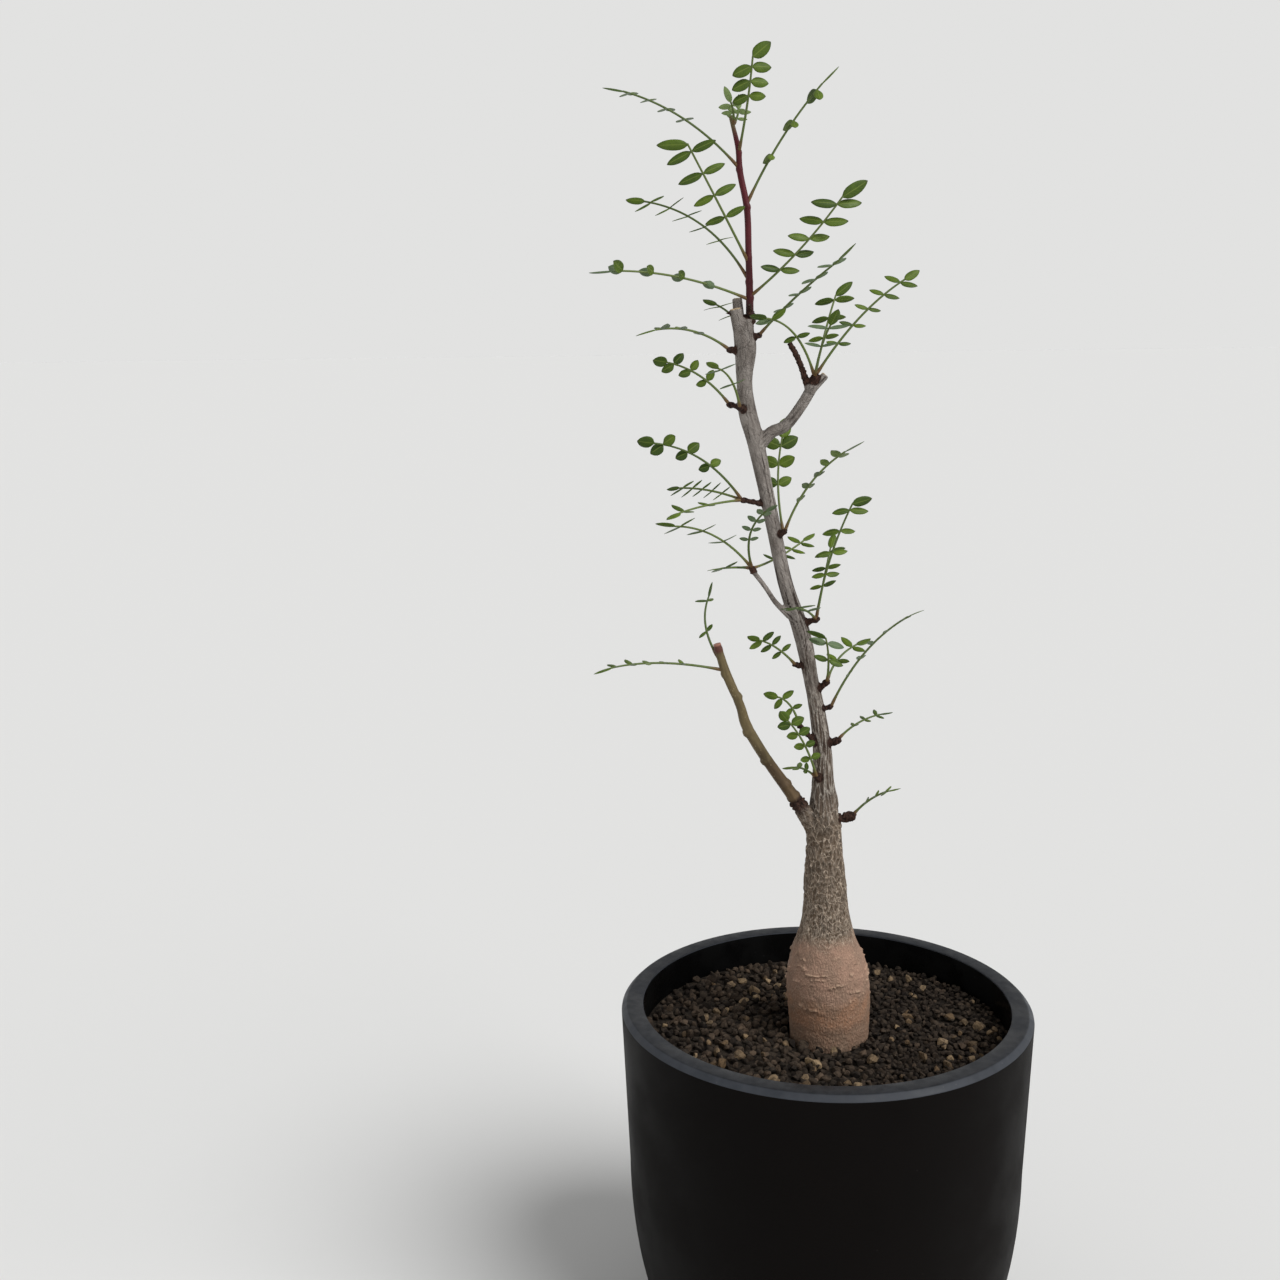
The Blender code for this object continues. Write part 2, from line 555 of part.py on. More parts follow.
def pair_shares(leaf):
    """Return where along the leaf its pairs of leaflets stand."""
    last = 1.0 - END_GAP * leaf.width / (Vector(leaf.tip).length - leaf.length)
    return [leaf.first + (last - leaf.first) * pair / (leaf.pairs - 1) for pair in range(leaf.pairs)]


def spread_from(forward, along):
    """Return a leaflet's direction, turned away from its rachis where it lies too close to it."""
    wanted = min(max(forward.angle(along), math.radians(LEAST_SPREAD)), math.radians(MOST_SPREAD))
    outward = (along - forward * along.dot(forward)).normalized()
    return forward * math.cos(wanted) + outward * math.sin(wanted)


def leaflet_pose(leaf, share, hand, forward, draw):
    """Return a leaflet's direction, width direction, upper side and size, with its share of chance."""
    side, upper = rachis_frame(leaf, forward)
    turn = draw.uniform(-PAIR_TURN, PAIR_TURN)
    lift = draw.uniform(-LIFT_TURN, LIFT_TURN)
    size = (LEAST_GROWN + (1.08 - LEAST_GROWN) * share) * draw.uniform(0.93, 1.05)
    if leaf.aims:
        along = spread_from(forward, leaflet_aim(leaf, hand, turn, lift))
        upper = blade_normal(along, leaf.roll)
    else:
        angle = math.radians(PAIR_ANGLE + turn)
        rise = math.radians(PAIR_LIFT + lift)
        outward = side * hand * math.cos(rise) + upper * math.sin(rise)
        along = (forward * math.cos(angle) + outward * math.sin(angle)).normalized()
        upper = (upper - along * upper.dot(along)).normalized()
    across = upper.cross(along)
    facing = 1 if across.dot(forward) * hand > 0 else -1
    return along, across * facing, upper * facing, size


def end_heading(leaf, forward):
    """Return the end leaflet's direction: straight on, or turned as far as it may towards its own."""
    if leaf.end is None:
        return forward
    slope = math.radians(leaf.end)
    aim = Vector((math.cos(slope), 0, math.sin(slope)))
    turn = min(forward.angle(aim), math.radians(END_TURN))
    return Quaternion(forward.cross(aim).normalized(), turn) @ forward


def end_pose(leaf, forward):
    """Return the end leaflet's direction, width direction and upper side."""
    side, _ = rachis_frame(leaf, forward)
    along = end_heading(leaf, forward)
    side = (side - along * side.dot(along)).normalized()
    return along, side, side.cross(along)


def rachis_section(shape, leaf, course, share):
    """Add a rachis's section at a share of its length."""
    side, upper = rachis_frame(leaf, leaf_heading(course, share))
    half = RACHIS_BASE + (RACHIS_END - RACHIS_BASE) * share
    return ring(shape, leaf_place(course, share), side, upper, half, half)


def grow_pair(shape, leaf, course, share, draw):
    """Grow a stretch of the rachis with a leaflet out of each side, and return its two ends."""
    half = ROOT_WIDTH / course.tip.length / 2
    near, far = [rachis_section(shape, leaf, course, share + step) for step in (-half, half)]
    skin(shape, near, far, open_sides=(LEFT, RIGHT))
    forward = leaf_heading(course, share)
    roots = {1: (near[1], far[1], far[2], near[2]), -1: (far[0], near[0], near[3], far[3])}
    for hand, root in roots.items():
        along, across, upper, size = leaflet_pose(leaf, share, hand, forward, draw)
        grow_leaflet(shape, root, along, across, upper, leaf.length * size, leaf.width * size)
    return near, far


def build_leaf(leaf, collection, material):
    """Build one leaf: a rachis with every leaflet grown out of its sides."""
    course = leaf_course(leaf)
    draw = random.Random(leaf.name)
    shape = bmesh.new()
    before = rachis_section(shape, leaf, course, 0.0)
    shape.faces.new(before)
    for share in pair_shares(leaf):
        near, far = grow_pair(shape, leaf, course, share, draw)
        skin(shape, before, near)
        before = far
    last = rachis_section(shape, leaf, course, 1.0)
    skin(shape, before, last)
    along, across, upper = end_pose(leaf, leaf_heading(course, 1.0))
    grow_leaflet(shape, last, along, across, upper, leaf.length * END_LEAFLET, leaf.width * END_LEAFLET)
    bmesh.ops.recalc_face_normals(shape, faces=shape.faces)
    mesh = bpy.data.meshes.new(leaf.name)
    shape.to_mesh(mesh)
    shape.free()
    return add_object(leaf.name, mesh, collection, material)


def main():
    clear_scene()
    parts = new_collection("potted_elephant_tree")
    cutters = new_collection("cutters")
    pot = make_material("pot_black", (0.012, 0.012, 0.013), 0.45)
    soil = make_material("soil_grit", (0.055, 0.04, 0.03), 0.95)
    bark = make_material("bark", (0.27, 0.21, 0.17), 0.85)
    olive = make_material("young_bark", (0.33, 0.27, 0.14), 0.6)
    maroon = make_material("red_bark", (0.09, 0.02, 0.02), 0.5)
    green = make_material("leaf_green", (0.12, 0.22, 0.06), 0.5)
    build_pot(parts, cutters, pot)
    build_soil(parts, soil)
    build_trunk(parts, bark)
    tube("side_branch", smooth_route(SIDE_BRANCH, 6), 8, parts).data.materials.append(olive)
    tube("red_shoot", smooth_route(RED_SHOOT, 6), 8, parts).data.materials.append(maroon)
    for leaf in LEAVES:
        build_leaf(leaf, parts, green)


main()
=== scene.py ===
# %% [markdown]
# # A potted elephant tree
# The real plant is a young elephant tree about 34 cm tall, with a swollen base, a slender grey trunk and
# small feather-like leaves. It grows in coarse grit in a round black pot 15 cm across.
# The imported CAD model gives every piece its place, so each finer piece made here is built from the same
# named sizes as its solid, and stands exactly where that solid stands.

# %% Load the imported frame
import math
import random
from collections import namedtuple

import bmesh
import bpy
from mathutils import Matrix, Quaternion, Vector, noise
from mathutils.kdtree import KDTree


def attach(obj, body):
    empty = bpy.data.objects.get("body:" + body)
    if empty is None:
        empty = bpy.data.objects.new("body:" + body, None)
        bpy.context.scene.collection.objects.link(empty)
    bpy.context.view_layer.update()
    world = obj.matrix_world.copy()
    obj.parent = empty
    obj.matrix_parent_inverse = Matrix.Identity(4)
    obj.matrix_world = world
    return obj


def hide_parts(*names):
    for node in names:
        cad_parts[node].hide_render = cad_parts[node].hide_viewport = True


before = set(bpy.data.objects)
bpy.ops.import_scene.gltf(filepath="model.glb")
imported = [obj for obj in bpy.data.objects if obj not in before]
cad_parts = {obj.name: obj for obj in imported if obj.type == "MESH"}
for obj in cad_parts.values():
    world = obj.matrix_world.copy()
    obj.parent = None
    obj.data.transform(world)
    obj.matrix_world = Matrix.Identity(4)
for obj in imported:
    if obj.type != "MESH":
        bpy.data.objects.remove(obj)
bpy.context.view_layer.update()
print("CAD nodes:", len(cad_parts))

# %% [markdown]
# ## The camera
# The photograph was taken from a little above the pot's rim, looking down by 11 degrees. The rim's two
# ellipses and the line of the horizon fix where the camera stood. A lens of 43.6 mm on a
# 36 mm sensor gives the photograph's field of view, and the tiny roll of 0.7 degrees matches its tilt.

# %% Set up the camera
MM = 0.001


def add_camera():
    """Add the camera that sees the plant as the photograph does."""
    data = bpy.data.cameras.new("photo_camera")
    data.sensor_width = 36.0
    data.lens = 43.594
    data.clip_start = 0.01
    camera = bpy.data.objects.new("photo_camera", data)
    bpy.context.scene.collection.objects.link(camera)
    place = Matrix.Translation((-0.0666, -0.5355, 0.3745))
    tilt = Matrix.Rotation(math.radians(79.05), 4, "X")
    roll = Matrix.Rotation(math.radians(-0.7), 4, "Z")
    camera.matrix_world = place @ tilt @ roll
    bpy.context.scene.camera = camera
    return camera


camera = add_camera()
print("camera at", [round(v, 3) for v in camera.matrix_world.translation])

# %% [markdown]
# ## Helpers for materials
# A material here is a small network of nodes. Three helpers keep the networks short: one turns a colour as
# it is seen on a screen into the linear light that Blender works in, one adds a node and feeds its inputs,
# and one makes the Principled material that every finish starts from. An input is fed by another node's
# socket or by a plain value, whichever it is given.

# %% Helpers: colours, nodes and materials
def seen(red, green, blue):
    """Return the linear colour that shows on screen as these 0-255 values."""
    channels = []
    for value in (red / 255, green / 255, blue / 255):
        channels.append(value / 12.92 if value <= 0.04045 else ((value + 0.055) / 1.055) ** 2.4)
    return (*channels, 1.0)


def feed(tree, socket, value):
    """Link a socket to a node's output, or set it to a plain value."""
    if isinstance(value, bpy.types.NodeSocket):
        tree.links.new(value, socket)
    else:
        socket.default_value = value


def add_node(tree, kind, inputs=None, **settings):
    """Add a node, apply its settings and feed the inputs named by name or number."""
    node = tree.nodes.new(kind)
    for name, value in settings.items():
        setattr(node, name, value)
    for name, value in (inputs or {}).items():
        feed(tree, node.inputs[name], value)
    return node


def new_material(name, roughness, specular=0.5):
    """Return a material, its tree and its Principled shader."""
    material = bpy.data.materials.new(name)
    material.use_nodes = True
    shader = material.node_tree.nodes["Principled BSDF"]
    shader.inputs["Roughness"].default_value = roughness
    shader.inputs["Specular IOR Level"].default_value = specular
    return material, material.node_tree, shader


def mix_colors(tree, share, first, second, blend="MIX"):
    """Return the mix of two colours."""
    node = tree.nodes.new("ShaderNodeMix")
    node.data_type = "RGBA"
    node.blend_type = blend
    feed(tree, node.inputs[0], share)
    feed(tree, node.inputs[6], first)
    feed(tree, node.inputs[7], second)
    return node.outputs[2]


def combine(tree, operation, first, second=0.0, clamp=False):
    """Return the result of a Math node."""
    node = add_node(tree, "ShaderNodeMath", {0: first, 1: second}, operation=operation, use_clamp=clamp)
    return node.outputs[0]


def fade_range(tree, value, start, end, low=0.0, high=1.0):
    """Return a value mapped smoothly from one range to another."""
    inputs = {"Value": value, "From Min": start, "From Max": end, "To Min": low, "To Max": high}
    node = add_node(tree, "ShaderNodeMapRange", inputs, interpolation_type="SMOOTHSTEP")
    return node.outputs["Result"]


def piece_attribute(tree, name):
    """Return the three numbers that a mesh keeps under a name."""
    node = add_node(tree, "ShaderNodeAttribute", attribute_name=name)
    return add_node(tree, "ShaderNodeSeparateXYZ", {0: node.outputs["Vector"]}).outputs


print("helpers ready")

# %% [markdown]
# ## Shared effects
# Real surfaces are never one flat colour. Four effects show on several of this object's materials, so each
# is a node group that is built once and placed with its own values:
# - `mottle` is a soft cloudy variation, stretched along the height for bark or left even for grit;
# - `speckle` scatters small round specks, for dust on the pot and pores in the grit and bark;
# - `settled_dust` finds the faces that look upwards, where pale dust comes to rest;
# - `thread_net` draws the thin wandering threads of a net, stretched along the height.

# %% Shared effects as node groups
def new_group(name, inputs, outputs):
    """Return a node group with a place, float inputs and outputs, and its two end nodes."""
    group = bpy.data.node_groups.new(name, "ShaderNodeTree")
    group.interface.new_socket("Place", in_out="INPUT", socket_type="NodeSocketVector")
    for label, value in inputs.items():
        socket = group.interface.new_socket(label, in_out="INPUT", socket_type="NodeSocketFloat")
        socket.default_value = value
    for label in outputs:
        group.interface.new_socket(label, in_out="OUTPUT", socket_type="NodeSocketFloat")
    return group, group.nodes.new("NodeGroupInput"), group.nodes.new("NodeGroupOutput")


def stretched_place(tree, place, size, stretch):
    """Return a place in units of a size, with its height stretched."""
    axes = add_node(tree, "ShaderNodeSeparateXYZ", {0: place}).outputs
    tall = combine(tree, "DIVIDE", axes[2], stretch)
    upright = add_node(tree, "ShaderNodeCombineXYZ", {0: axes[0], 1: axes[1], 2: tall}).outputs[0]
    scale = combine(tree, "DIVIDE", 1000.0, size)
    return add_node(tree, "ShaderNodeVectorMath", {0: upright, "Scale": scale}, operation="SCALE").outputs[0]


def build_mottle():
    """Build the cloudy variation, from a size in millimetres."""
    group, start, end = new_group("mottle", {"Size": 5.0, "Stretch": 1.0, "Contrast": 1.0}, ["Value"])
    place = stretched_place(group, start.outputs["Place"], start.outputs["Size"], start.outputs["Stretch"])
    cloud = add_node(group, "ShaderNodeTexNoise", {"Vector": place, "Scale": 1.0, "Detail": 4.0})
    centred = combine(group, "SUBTRACT", cloud.outputs[0], 0.5)
    stronger = combine(group, "MULTIPLY", centred, start.outputs["Contrast"])
    feed(group, end.inputs["Value"], combine(group, "ADD", stronger, 0.5, clamp=True))
    return group


def build_speckle():
    """Build scattered specks, from their spacing in millimetres and their share of it."""
    group, start, end = new_group("speckle", {"Spacing": 4.0, "Share": 0.15}, ["Mask"])
    place = stretched_place(group, start.outputs["Place"], start.outputs["Spacing"], 1.0)
    cells = add_node(group, "ShaderNodeTexVoronoi", {"Vector": place, "Scale": 1.0})
    edge = combine(group, "SUBTRACT", start.outputs["Share"], cells.outputs["Distance"])
    feed(group, end.inputs["Mask"], combine(group, "MULTIPLY", edge, 12.0, clamp=True))
    return group


def build_settled_dust():
    """Build the mask of faces that look up, broken up by a fine cloud."""
    group, start, end = new_group("settled_dust", {"Amount": 0.5, "Size": 2.0}, ["Mask"])
    normal = add_node(group, "ShaderNodeNewGeometry").outputs["Normal"]
    upward = add_node(group, "ShaderNodeSeparateXYZ", {0: normal}).outputs[2]
    lying = fade_range(group, upward, 0.2, 0.95)
    place = stretched_place(group, start.outputs["Place"], start.outputs["Size"], 1.0)
    cloud = add_node(group, "ShaderNodeTexNoise", {"Vector": place, "Scale": 1.0, "Detail": 5.0}).outputs[0]
    broken = combine(group, "MULTIPLY", lying, fade_range(group, cloud, 0.35, 0.65))
    feed(group, end.inputs["Mask"], combine(group, "MULTIPLY", broken, start.outputs["Amount"], clamp=True))
    return group


def build_thread_net():
    """Build a net of thin threads, from a mesh's size in millimetres and a thread's share of it."""
    group, start, end = new_group("thread_net", {"Size": 3.0, "Stretch": 2.0, "Thread": 0.08}, ["Mask"])
    place = stretched_place(group, start.outputs["Place"], start.outputs["Size"], start.outputs["Stretch"])
    sway = add_node(group, "ShaderNodeTexNoise", {"Vector": place, "Scale": 1.3, "Detail": 2.0}).outputs[1]
    swayed = add_node(group, "ShaderNodeVectorMath", {0: sway, 1: (0.9, 0.9, 0.9), 2: place},
                      operation="MULTIPLY_ADD").outputs[0]
    cells = add_node(group, "ShaderNodeTexVoronoi", {"Vector": swayed, "Scale": 1.0},
                     feature="DISTANCE_TO_EDGE").outputs["Distance"]
    away = combine(group, "DIVIDE", cells, start.outputs["Thread"])
    feed(group, end.inputs["Mask"], combine(group, "SUBTRACT", 1.0, away, clamp=True))
    return group


MOTTLE, SPECKLE, SETTLED_DUST = build_mottle(), build_speckle(), build_settled_dust()
THREAD_NET = build_thread_net()


def place_group(tree, group, place=None, **values):
    """Place a shared effect in a material, with its own values and the object's own place or another."""
    node = tree.nodes.new("ShaderNodeGroup")
    node.node_tree = group
    feed(tree, node.inputs["Place"], place or add_node(tree, "ShaderNodeTexCoord").outputs["Object"])
    for name, value in values.items():
        feed(tree, node.inputs[name], value)
    return node.outputs[0]


def bump(tree, height, distance, strength=1.0, normal=None):
    """Return the normal of a relief of this many millimetres."""
    inputs = {"Height": height, "Distance": distance * MM, "Strength": strength}
    if normal:
        inputs["Normal"] = normal
    return add_node(tree, "ShaderNodeBump", inputs).outputs["Normal"]


print("groups:", [group.name for group in bpy.data.node_groups])

# %% [markdown]
# ## Placing pieces
# Every piece made here rides on the frame's one body, takes its place from the same numbers as its solid,
# and hides the plain solid that it stands for. Sizes are written in millimetres.

# %% Helper: from points and faces to a placed piece
def finish_piece(name, mesh, nodes=(), materials=(), sharp=40):
    """Put a mesh made in millimetres into the scene as a piece of the object."""
    mesh.name = name
    mesh.transform(Matrix.Scale(MM, 4))
    for material in materials:
        mesh.materials.append(material)
    mesh.shade_smooth()
    mesh.set_sharp_from_angle(angle=math.radians(sharp))
    piece = bpy.data.objects.new(name, mesh)
    bpy.context.scene.collection.objects.link(piece)
    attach(piece, "root")
    if nodes:
        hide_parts(*nodes)
    return piece


def count_triangles(piece):
    """Return how many triangles a piece has."""
    return sum(len(face.vertices) - 2 for face in piece.data.polygons)


def keep_numbers(mesh, name, values):
    """Store three numbers for each vertex under a name."""
    attribute = mesh.attributes.new(name, "FLOAT_VECTOR", "POINT")
    attribute.data.foreach_set("vector", [number for value in values for number in value])


# %% [markdown]
# ## The pot
# The pot is moulded plastic: straight upper walls that curve in to a narrower base, a flat rim 8 mm wide
# with a small chamfer, and a smoother inner wall. It could be modelled from a cylinder with loops moved by
# hand. Turning a profile about the axis is exact, and gives the round shapes as many steps as they need, so
# the profile is the solid's own, with its corners rounded by half a millimetre.

# %% The pot's shape
POT_HEIGHT = 135.0
POT_RADIUS = 75.0
RIM_WIDTH = 8.0
RIM_CHAMFER = 2.0
TAPER_RADIUS = 72.6
TAPER_END = 75.0
BASE_RADIUS = 48.0
INNER_RADIUS = POT_RADIUS - RIM_WIDTH
INNER_TAPER_RADIUS = 66.3
INNER_FLOOR_RADIUS = 42.0
FLOOR_THICKNESS = 7.0
GAP = 0.3
DRAIN_COUNT = 5
DRAIN_RADIUS = 5.0
DRAIN_CIRCLE = 26.0
POT_STEPS = 160
ARC_STEPS = 20
CORNER_ROUND = 0.5


def quarter_ellipse(start, end, count):
    """Return points from a vertical wall at start round to a horizontal floor at end."""
    angles = [math.pi / 2 * k / count for k in range(count + 1)]
    return [(end[0] + (start[0] - end[0]) * math.cos(a), start[1] + (end[1] - start[1]) * math.sin(a))
            for a in angles]


def inner_wall(offset, top):
    """Return the pot's inner wall and floor, moved inwards by an offset."""
    taper_end = (INNER_TAPER_RADIUS - offset, TAPER_END)
    floor = (INNER_FLOOR_RADIUS - offset, FLOOR_THICKNESS + offset)
    return [(INNER_RADIUS - offset, top), *quarter_ellipse(taper_end, floor, ARC_STEPS)]


def round_corner(before, corner, after, size):
    """Return three points that round a profile's corner."""
    a, b, c = Vector(before), Vector(corner), Vector(after)
    start = b + (a - b).normalized() * size
    end = b + (c - b).normalized() * size
    middle = (start + 2 * b + end) / 4
    return [tuple(start), tuple(middle), tuple(end)]


def turn_profile(profile, steps):
    """Return a mesh turned about the vertical axis from points of radius and height."""
    points, faces, rings = [], [], []
    for radius, height in profile:
        if radius < 0.001:
            rings.append([len(points)])
            points.append((0.0, 0.0, height))
            continue
        rings.append(list(range(len(points), len(points) + steps)))
        for k in range(steps):
            angle = 2 * math.pi * k / steps
            points.append((radius * math.cos(angle), radius * math.sin(angle), height))
    for lower, upper in zip(rings, rings[1:]):
        for k in range(steps):
            corners = [lower[k % len(lower)], lower[(k + 1) % len(lower)],
                       upper[(k + 1) % len(upper)], upper[k % len(upper)]]
            faces.append(list(dict.fromkeys(corners)))
    mesh = bpy.data.meshes.new("turned")
    mesh.from_pydata(points, [], faces)
    return mesh


def pot_profile():
    """Return the pot's profile, from the middle of its inside to the middle of its base."""
    inside = [*inner_wall(0.0, POT_HEIGHT), (0.0, FLOOR_THICKNESS)]
    chamfer = [(POT_RADIUS - RIM_CHAMFER, POT_HEIGHT), (POT_RADIUS, POT_HEIGHT - RIM_CHAMFER)]
    outside = quarter_ellipse((TAPER_RADIUS, TAPER_END), (BASE_RADIUS, 0.0), ARC_STEPS)
    rim = [inside[1], inside[0], *chamfer, outside[0]]
    rounded = []
    for before, corner, after in zip(rim, rim[1:], rim[2:]):
        rounded += round_corner(before, corner, after, CORNER_ROUND)
    return [*reversed(inside[1:]), *rounded, *outside, (0.0, 0.0)]


def cut_drains(mesh):
    """Cut the round drainage holes through the pot's floor."""
    pot = bpy.data.objects.new("uncut_pot", mesh)
    bpy.context.scene.collection.objects.link(pot)
    drains = bmesh.new()
    for k in range(DRAIN_COUNT):
        angle = 2 * math.pi * k / DRAIN_COUNT
        place = Matrix.Translation((DRAIN_CIRCLE * math.cos(angle), DRAIN_CIRCLE * math.sin(angle), 0))
        bmesh.ops.create_cone(drains, cap_ends=True, segments=36, radius1=DRAIN_RADIUS,
                              radius2=DRAIN_RADIUS, depth=4 * FLOOR_THICKNESS, matrix=place)
    cutter_mesh = bpy.data.meshes.new("drains")
    drains.to_mesh(cutter_mesh)
    drains.free()
    cutter = bpy.data.objects.new("drains", cutter_mesh)
    bpy.context.scene.collection.objects.link(cutter)
    cut = pot.modifiers.new("Drains", "BOOLEAN")
    cut.operation = "DIFFERENCE"
    cut.object = cutter
    bpy.context.view_layer.update()
    depsgraph = bpy.context.evaluated_depsgraph_get()
    result = bpy.data.meshes.new_from_object(pot.evaluated_get(depsgraph), depsgraph=depsgraph)
    bpy.data.objects.remove(pot, do_unlink=True)
    bpy.data.objects.remove(cutter, do_unlink=True)
    return result


pot_mesh = turn_profile(pot_profile(), POT_STEPS)
pot_mesh = cut_drains(pot_mesh)
print("pot faces:", len(pot_mesh.polygons))

# %% [markdown]
# The pot shows three finishes. The outer wall is matte and nearly black, with a few specks of dust. The rim
# is a dark slate grey, and its chamfer is painted a little paler, a painted highlight where the bevel catches
# the light. The inner wall is glossier, with dried splashes from watering. Three materials share the mesh,
# and each face takes the one that its place calls for.

# %% The pot's finishes
def pot_wall_finish():
    """Return the matte near-black outer wall, with dust specks and faint scuffs."""
    material, tree, shader = new_material("pot_wall", 0.55, specular=0.05)
    cloud = place_group(tree, MOTTLE, Size=22.0, Contrast=1.6)
    base = mix_colors(tree, cloud, seen(8, 6, 5), seen(13, 10, 9))
    specks = place_group(tree, SPECKLE, Spacing=7.0, Share=0.04)
    color = mix_colors(tree, combine(tree, "MULTIPLY", specks, 0.4), base, seen(96, 92, 88))
    feed(tree, shader.inputs["Base Color"], color)
    feed(tree, shader.inputs["Roughness"], fade_range(tree, cloud, 0.2, 0.8, 0.48, 0.62))
    grain = add_node(tree, "ShaderNodeTexNoise", {"Scale": 1800.0, "Detail": 2.0}).outputs[0]
    feed(tree, shader.inputs["Normal"], bump(tree, grain, 0.05, 0.5))
    return material


def pot_rim_finish():
    """Return the slate grey rim: dark on top, and paler on the chamfer as a painted highlight."""
    material, tree, shader = new_material("pot_rim", 0.5, specular=0.18)
    cloud = place_group(tree, MOTTLE, Size=9.0, Contrast=2.2)
    top = mix_colors(tree, cloud, seen(27, 28, 31), seen(38, 40, 44))
    # Painted highlight: the chamfer gets a paler grey, as if its bevel caught the light.
    chamfer_highlight = mix_colors(tree, cloud, seen(46, 49, 54), seen(58, 61, 67))
    place = add_node(tree, "ShaderNodeTexCoord").outputs["Object"]
    height = add_node(tree, "ShaderNodeSeparateXYZ", {0: place}).outputs[2]
    base = mix_colors(tree, fade_range(tree, height, 0.13495, 0.13465), top, chamfer_highlight)
    dust = place_group(tree, SETTLED_DUST, Amount=0.12, Size=3.0)
    dusted = mix_colors(tree, dust, base, seen(84, 86, 90))
    specks = place_group(tree, SPECKLE, Spacing=5.0, Share=0.06)
    color = mix_colors(tree, combine(tree, "MULTIPLY", specks, 0.4), dusted, seen(130, 130, 130))
    feed(tree, shader.inputs["Base Color"], color)
    feed(tree, shader.inputs["Roughness"], fade_range(tree, cloud, 0.2, 0.8, 0.42, 0.6))
    grain = add_node(tree, "ShaderNodeTexNoise", {"Scale": 1500.0, "Detail": 2.0}).outputs[0]
    feed(tree, shader.inputs["Normal"], bump(tree, grain, 0.04, 0.5))
    return material


def pot_inside_finish():
    """Return the glossier inner wall with dried splashes."""
    material, tree, shader = new_material("pot_inside", 0.3, specular=0.08)
    splash = place_group(tree, SPECKLE, Spacing=3.4, Share=0.1)
    wet = place_group(tree, MOTTLE, Size=14.0, Contrast=3.0)
    mask = combine(tree, "MULTIPLY", splash, fade_range(tree, wet, 0.55, 0.85))
    faint = combine(tree, "MULTIPLY", mask, 0.25)
    feed(tree, shader.inputs["Base Color"], mix_colors(tree, faint, seen(6, 6, 6), seen(96, 98, 98)))
    feed(tree, shader.inputs["Roughness"], fade_range(tree, wet, 0.2, 0.8, 0.22, 0.42))
    return material


def pick_pot_finish(face):
    """Return which of the pot's three materials a face takes: wall, rim or inside."""
    radius, height = math.hypot(face.center.x, face.center.y), face.center.z
    if height > POT_HEIGHT - RIM_CHAMFER - 0.1 and radius > INNER_RADIUS - 0.02:
        return 1
    inner = height > FLOOR_THICKNESS - 0.1 and radius < INNER_RADIUS + 0.1
    return 2 if inner else 0


pot_finishes = [pot_wall_finish(), pot_rim_finish(), pot_inside_finish()]
for face in pot_mesh.polygons:
    face.material_index = pick_pot_finish(face)
choices = [face.material_index for face in pot_mesh.polygons]
pot = finish_piece("pot_shell", pot_mesh, ["pot"], pot_finishes, sharp=30)
for face, choice in zip(pot.data.polygons, choices):
    face.material_index = choice
print("pot triangles:", count_triangles(pot))

# %% [markdown]
# ## The soil
# The pot is filled with mineral grit: dark porous grains 2 to 4 mm across, finer and darker towards the
# right, with paler tan grains of up to 5 mm scattered between them. A bump texture would look flat from the
# side, so every grain is a small stone of its own. Twelve stones are shaped first, each the smallest angular
# body round a few random corners. Thousands of turned and resized copies of them are laid on a dark bed, and
# a fixed seed lays them the same way every time.

# %% The bed under the grains
SOIL_LEVEL = POT_HEIGHT - 11.0
HOLE_RADIUS = 16.6
HOLE_FLOOR = 106.0
BED_DEPTH = 1.6


def soil_swell(x, y):
    """Return the broad unevenness of the soil's surface."""
    return noise.noise(Vector((x, y, 9)) / 30) * 1.2


def bed_mesh():
    """Return the bed that fills the pot, with its upper surface a little below the grains' tops."""
    level = SOIL_LEVEL - BED_DEPTH
    edge = INNER_RADIUS - GAP
    rings = [(HOLE_RADIUS + (edge - HOLE_RADIUS) * k / 24, level) for k in range(24)]
    wall = inner_wall(GAP, level)
    profile = [(0.0, HOLE_FLOOR), (HOLE_RADIUS, HOLE_FLOOR), *rings, *wall, (0.0, FLOOR_THICKNESS + GAP)]
    mesh = turn_profile(profile, 120)
    for vertex in mesh.vertices:
        x, y, z = vertex.co
        if abs(z - level) < 0.01 and math.hypot(x, y) < edge - 0.1:
            vertex.co.z += soil_swell(x, y)
    return mesh


# %% The grit's finish
def grit_finish():
    """Return porous stone: each grain has its own tone, pores and a little pale dust on top."""
    material, tree, shader = new_material("grit", 0.9, specular=0.15)
    tone, tan, _ = piece_attribute(tree, "grain")
    dark = mix_colors(tree, tone, seen(28, 23, 20), seen(98, 82, 68))
    pale = mix_colors(tree, tone, seen(112, 90, 66), seen(168, 144, 112))
    base = mix_colors(tree, tan, dark, pale)
    cloud = place_group(tree, MOTTLE, Size=1.8, Contrast=2.8)
    blotched = mix_colors(tree, fade_range(tree, cloud, 0.4, 0.8, 0.0, 0.5), base, seen(20, 16, 14))
    pores = place_group(tree, SPECKLE, Spacing=0.6, Share=0.32)
    pitted = mix_colors(tree, combine(tree, "MULTIPLY", pores, 0.55), blotched, seen(10, 8, 7))
    dust = place_group(tree, SETTLED_DUST, Amount=0.16, Size=1.2)
    feed(tree, shader.inputs["Base Color"], mix_colors(tree, dust, pitted, seen(124, 110, 94)))
    rough = add_node(tree, "ShaderNodeTexNoise", {"Scale": 1600.0, "Detail": 4.0, "Roughness": 0.7})
    feed(tree, shader.inputs["Normal"], bump(tree, rough.outputs[0], 0.3, 0.8))
    return material


grit = grit_finish()
bed_shape = bed_mesh()
keep_numbers(bed_shape, "grain", [(0.0, 0.0, 0.0)] * len(bed_shape.vertices))
bed = finish_piece("soil_bed", bed_shape, ["soil"], [grit])
print("bed triangles:", count_triangles(bed))

# %% Shape the stones and lay them
STONE_SHAPES = 12


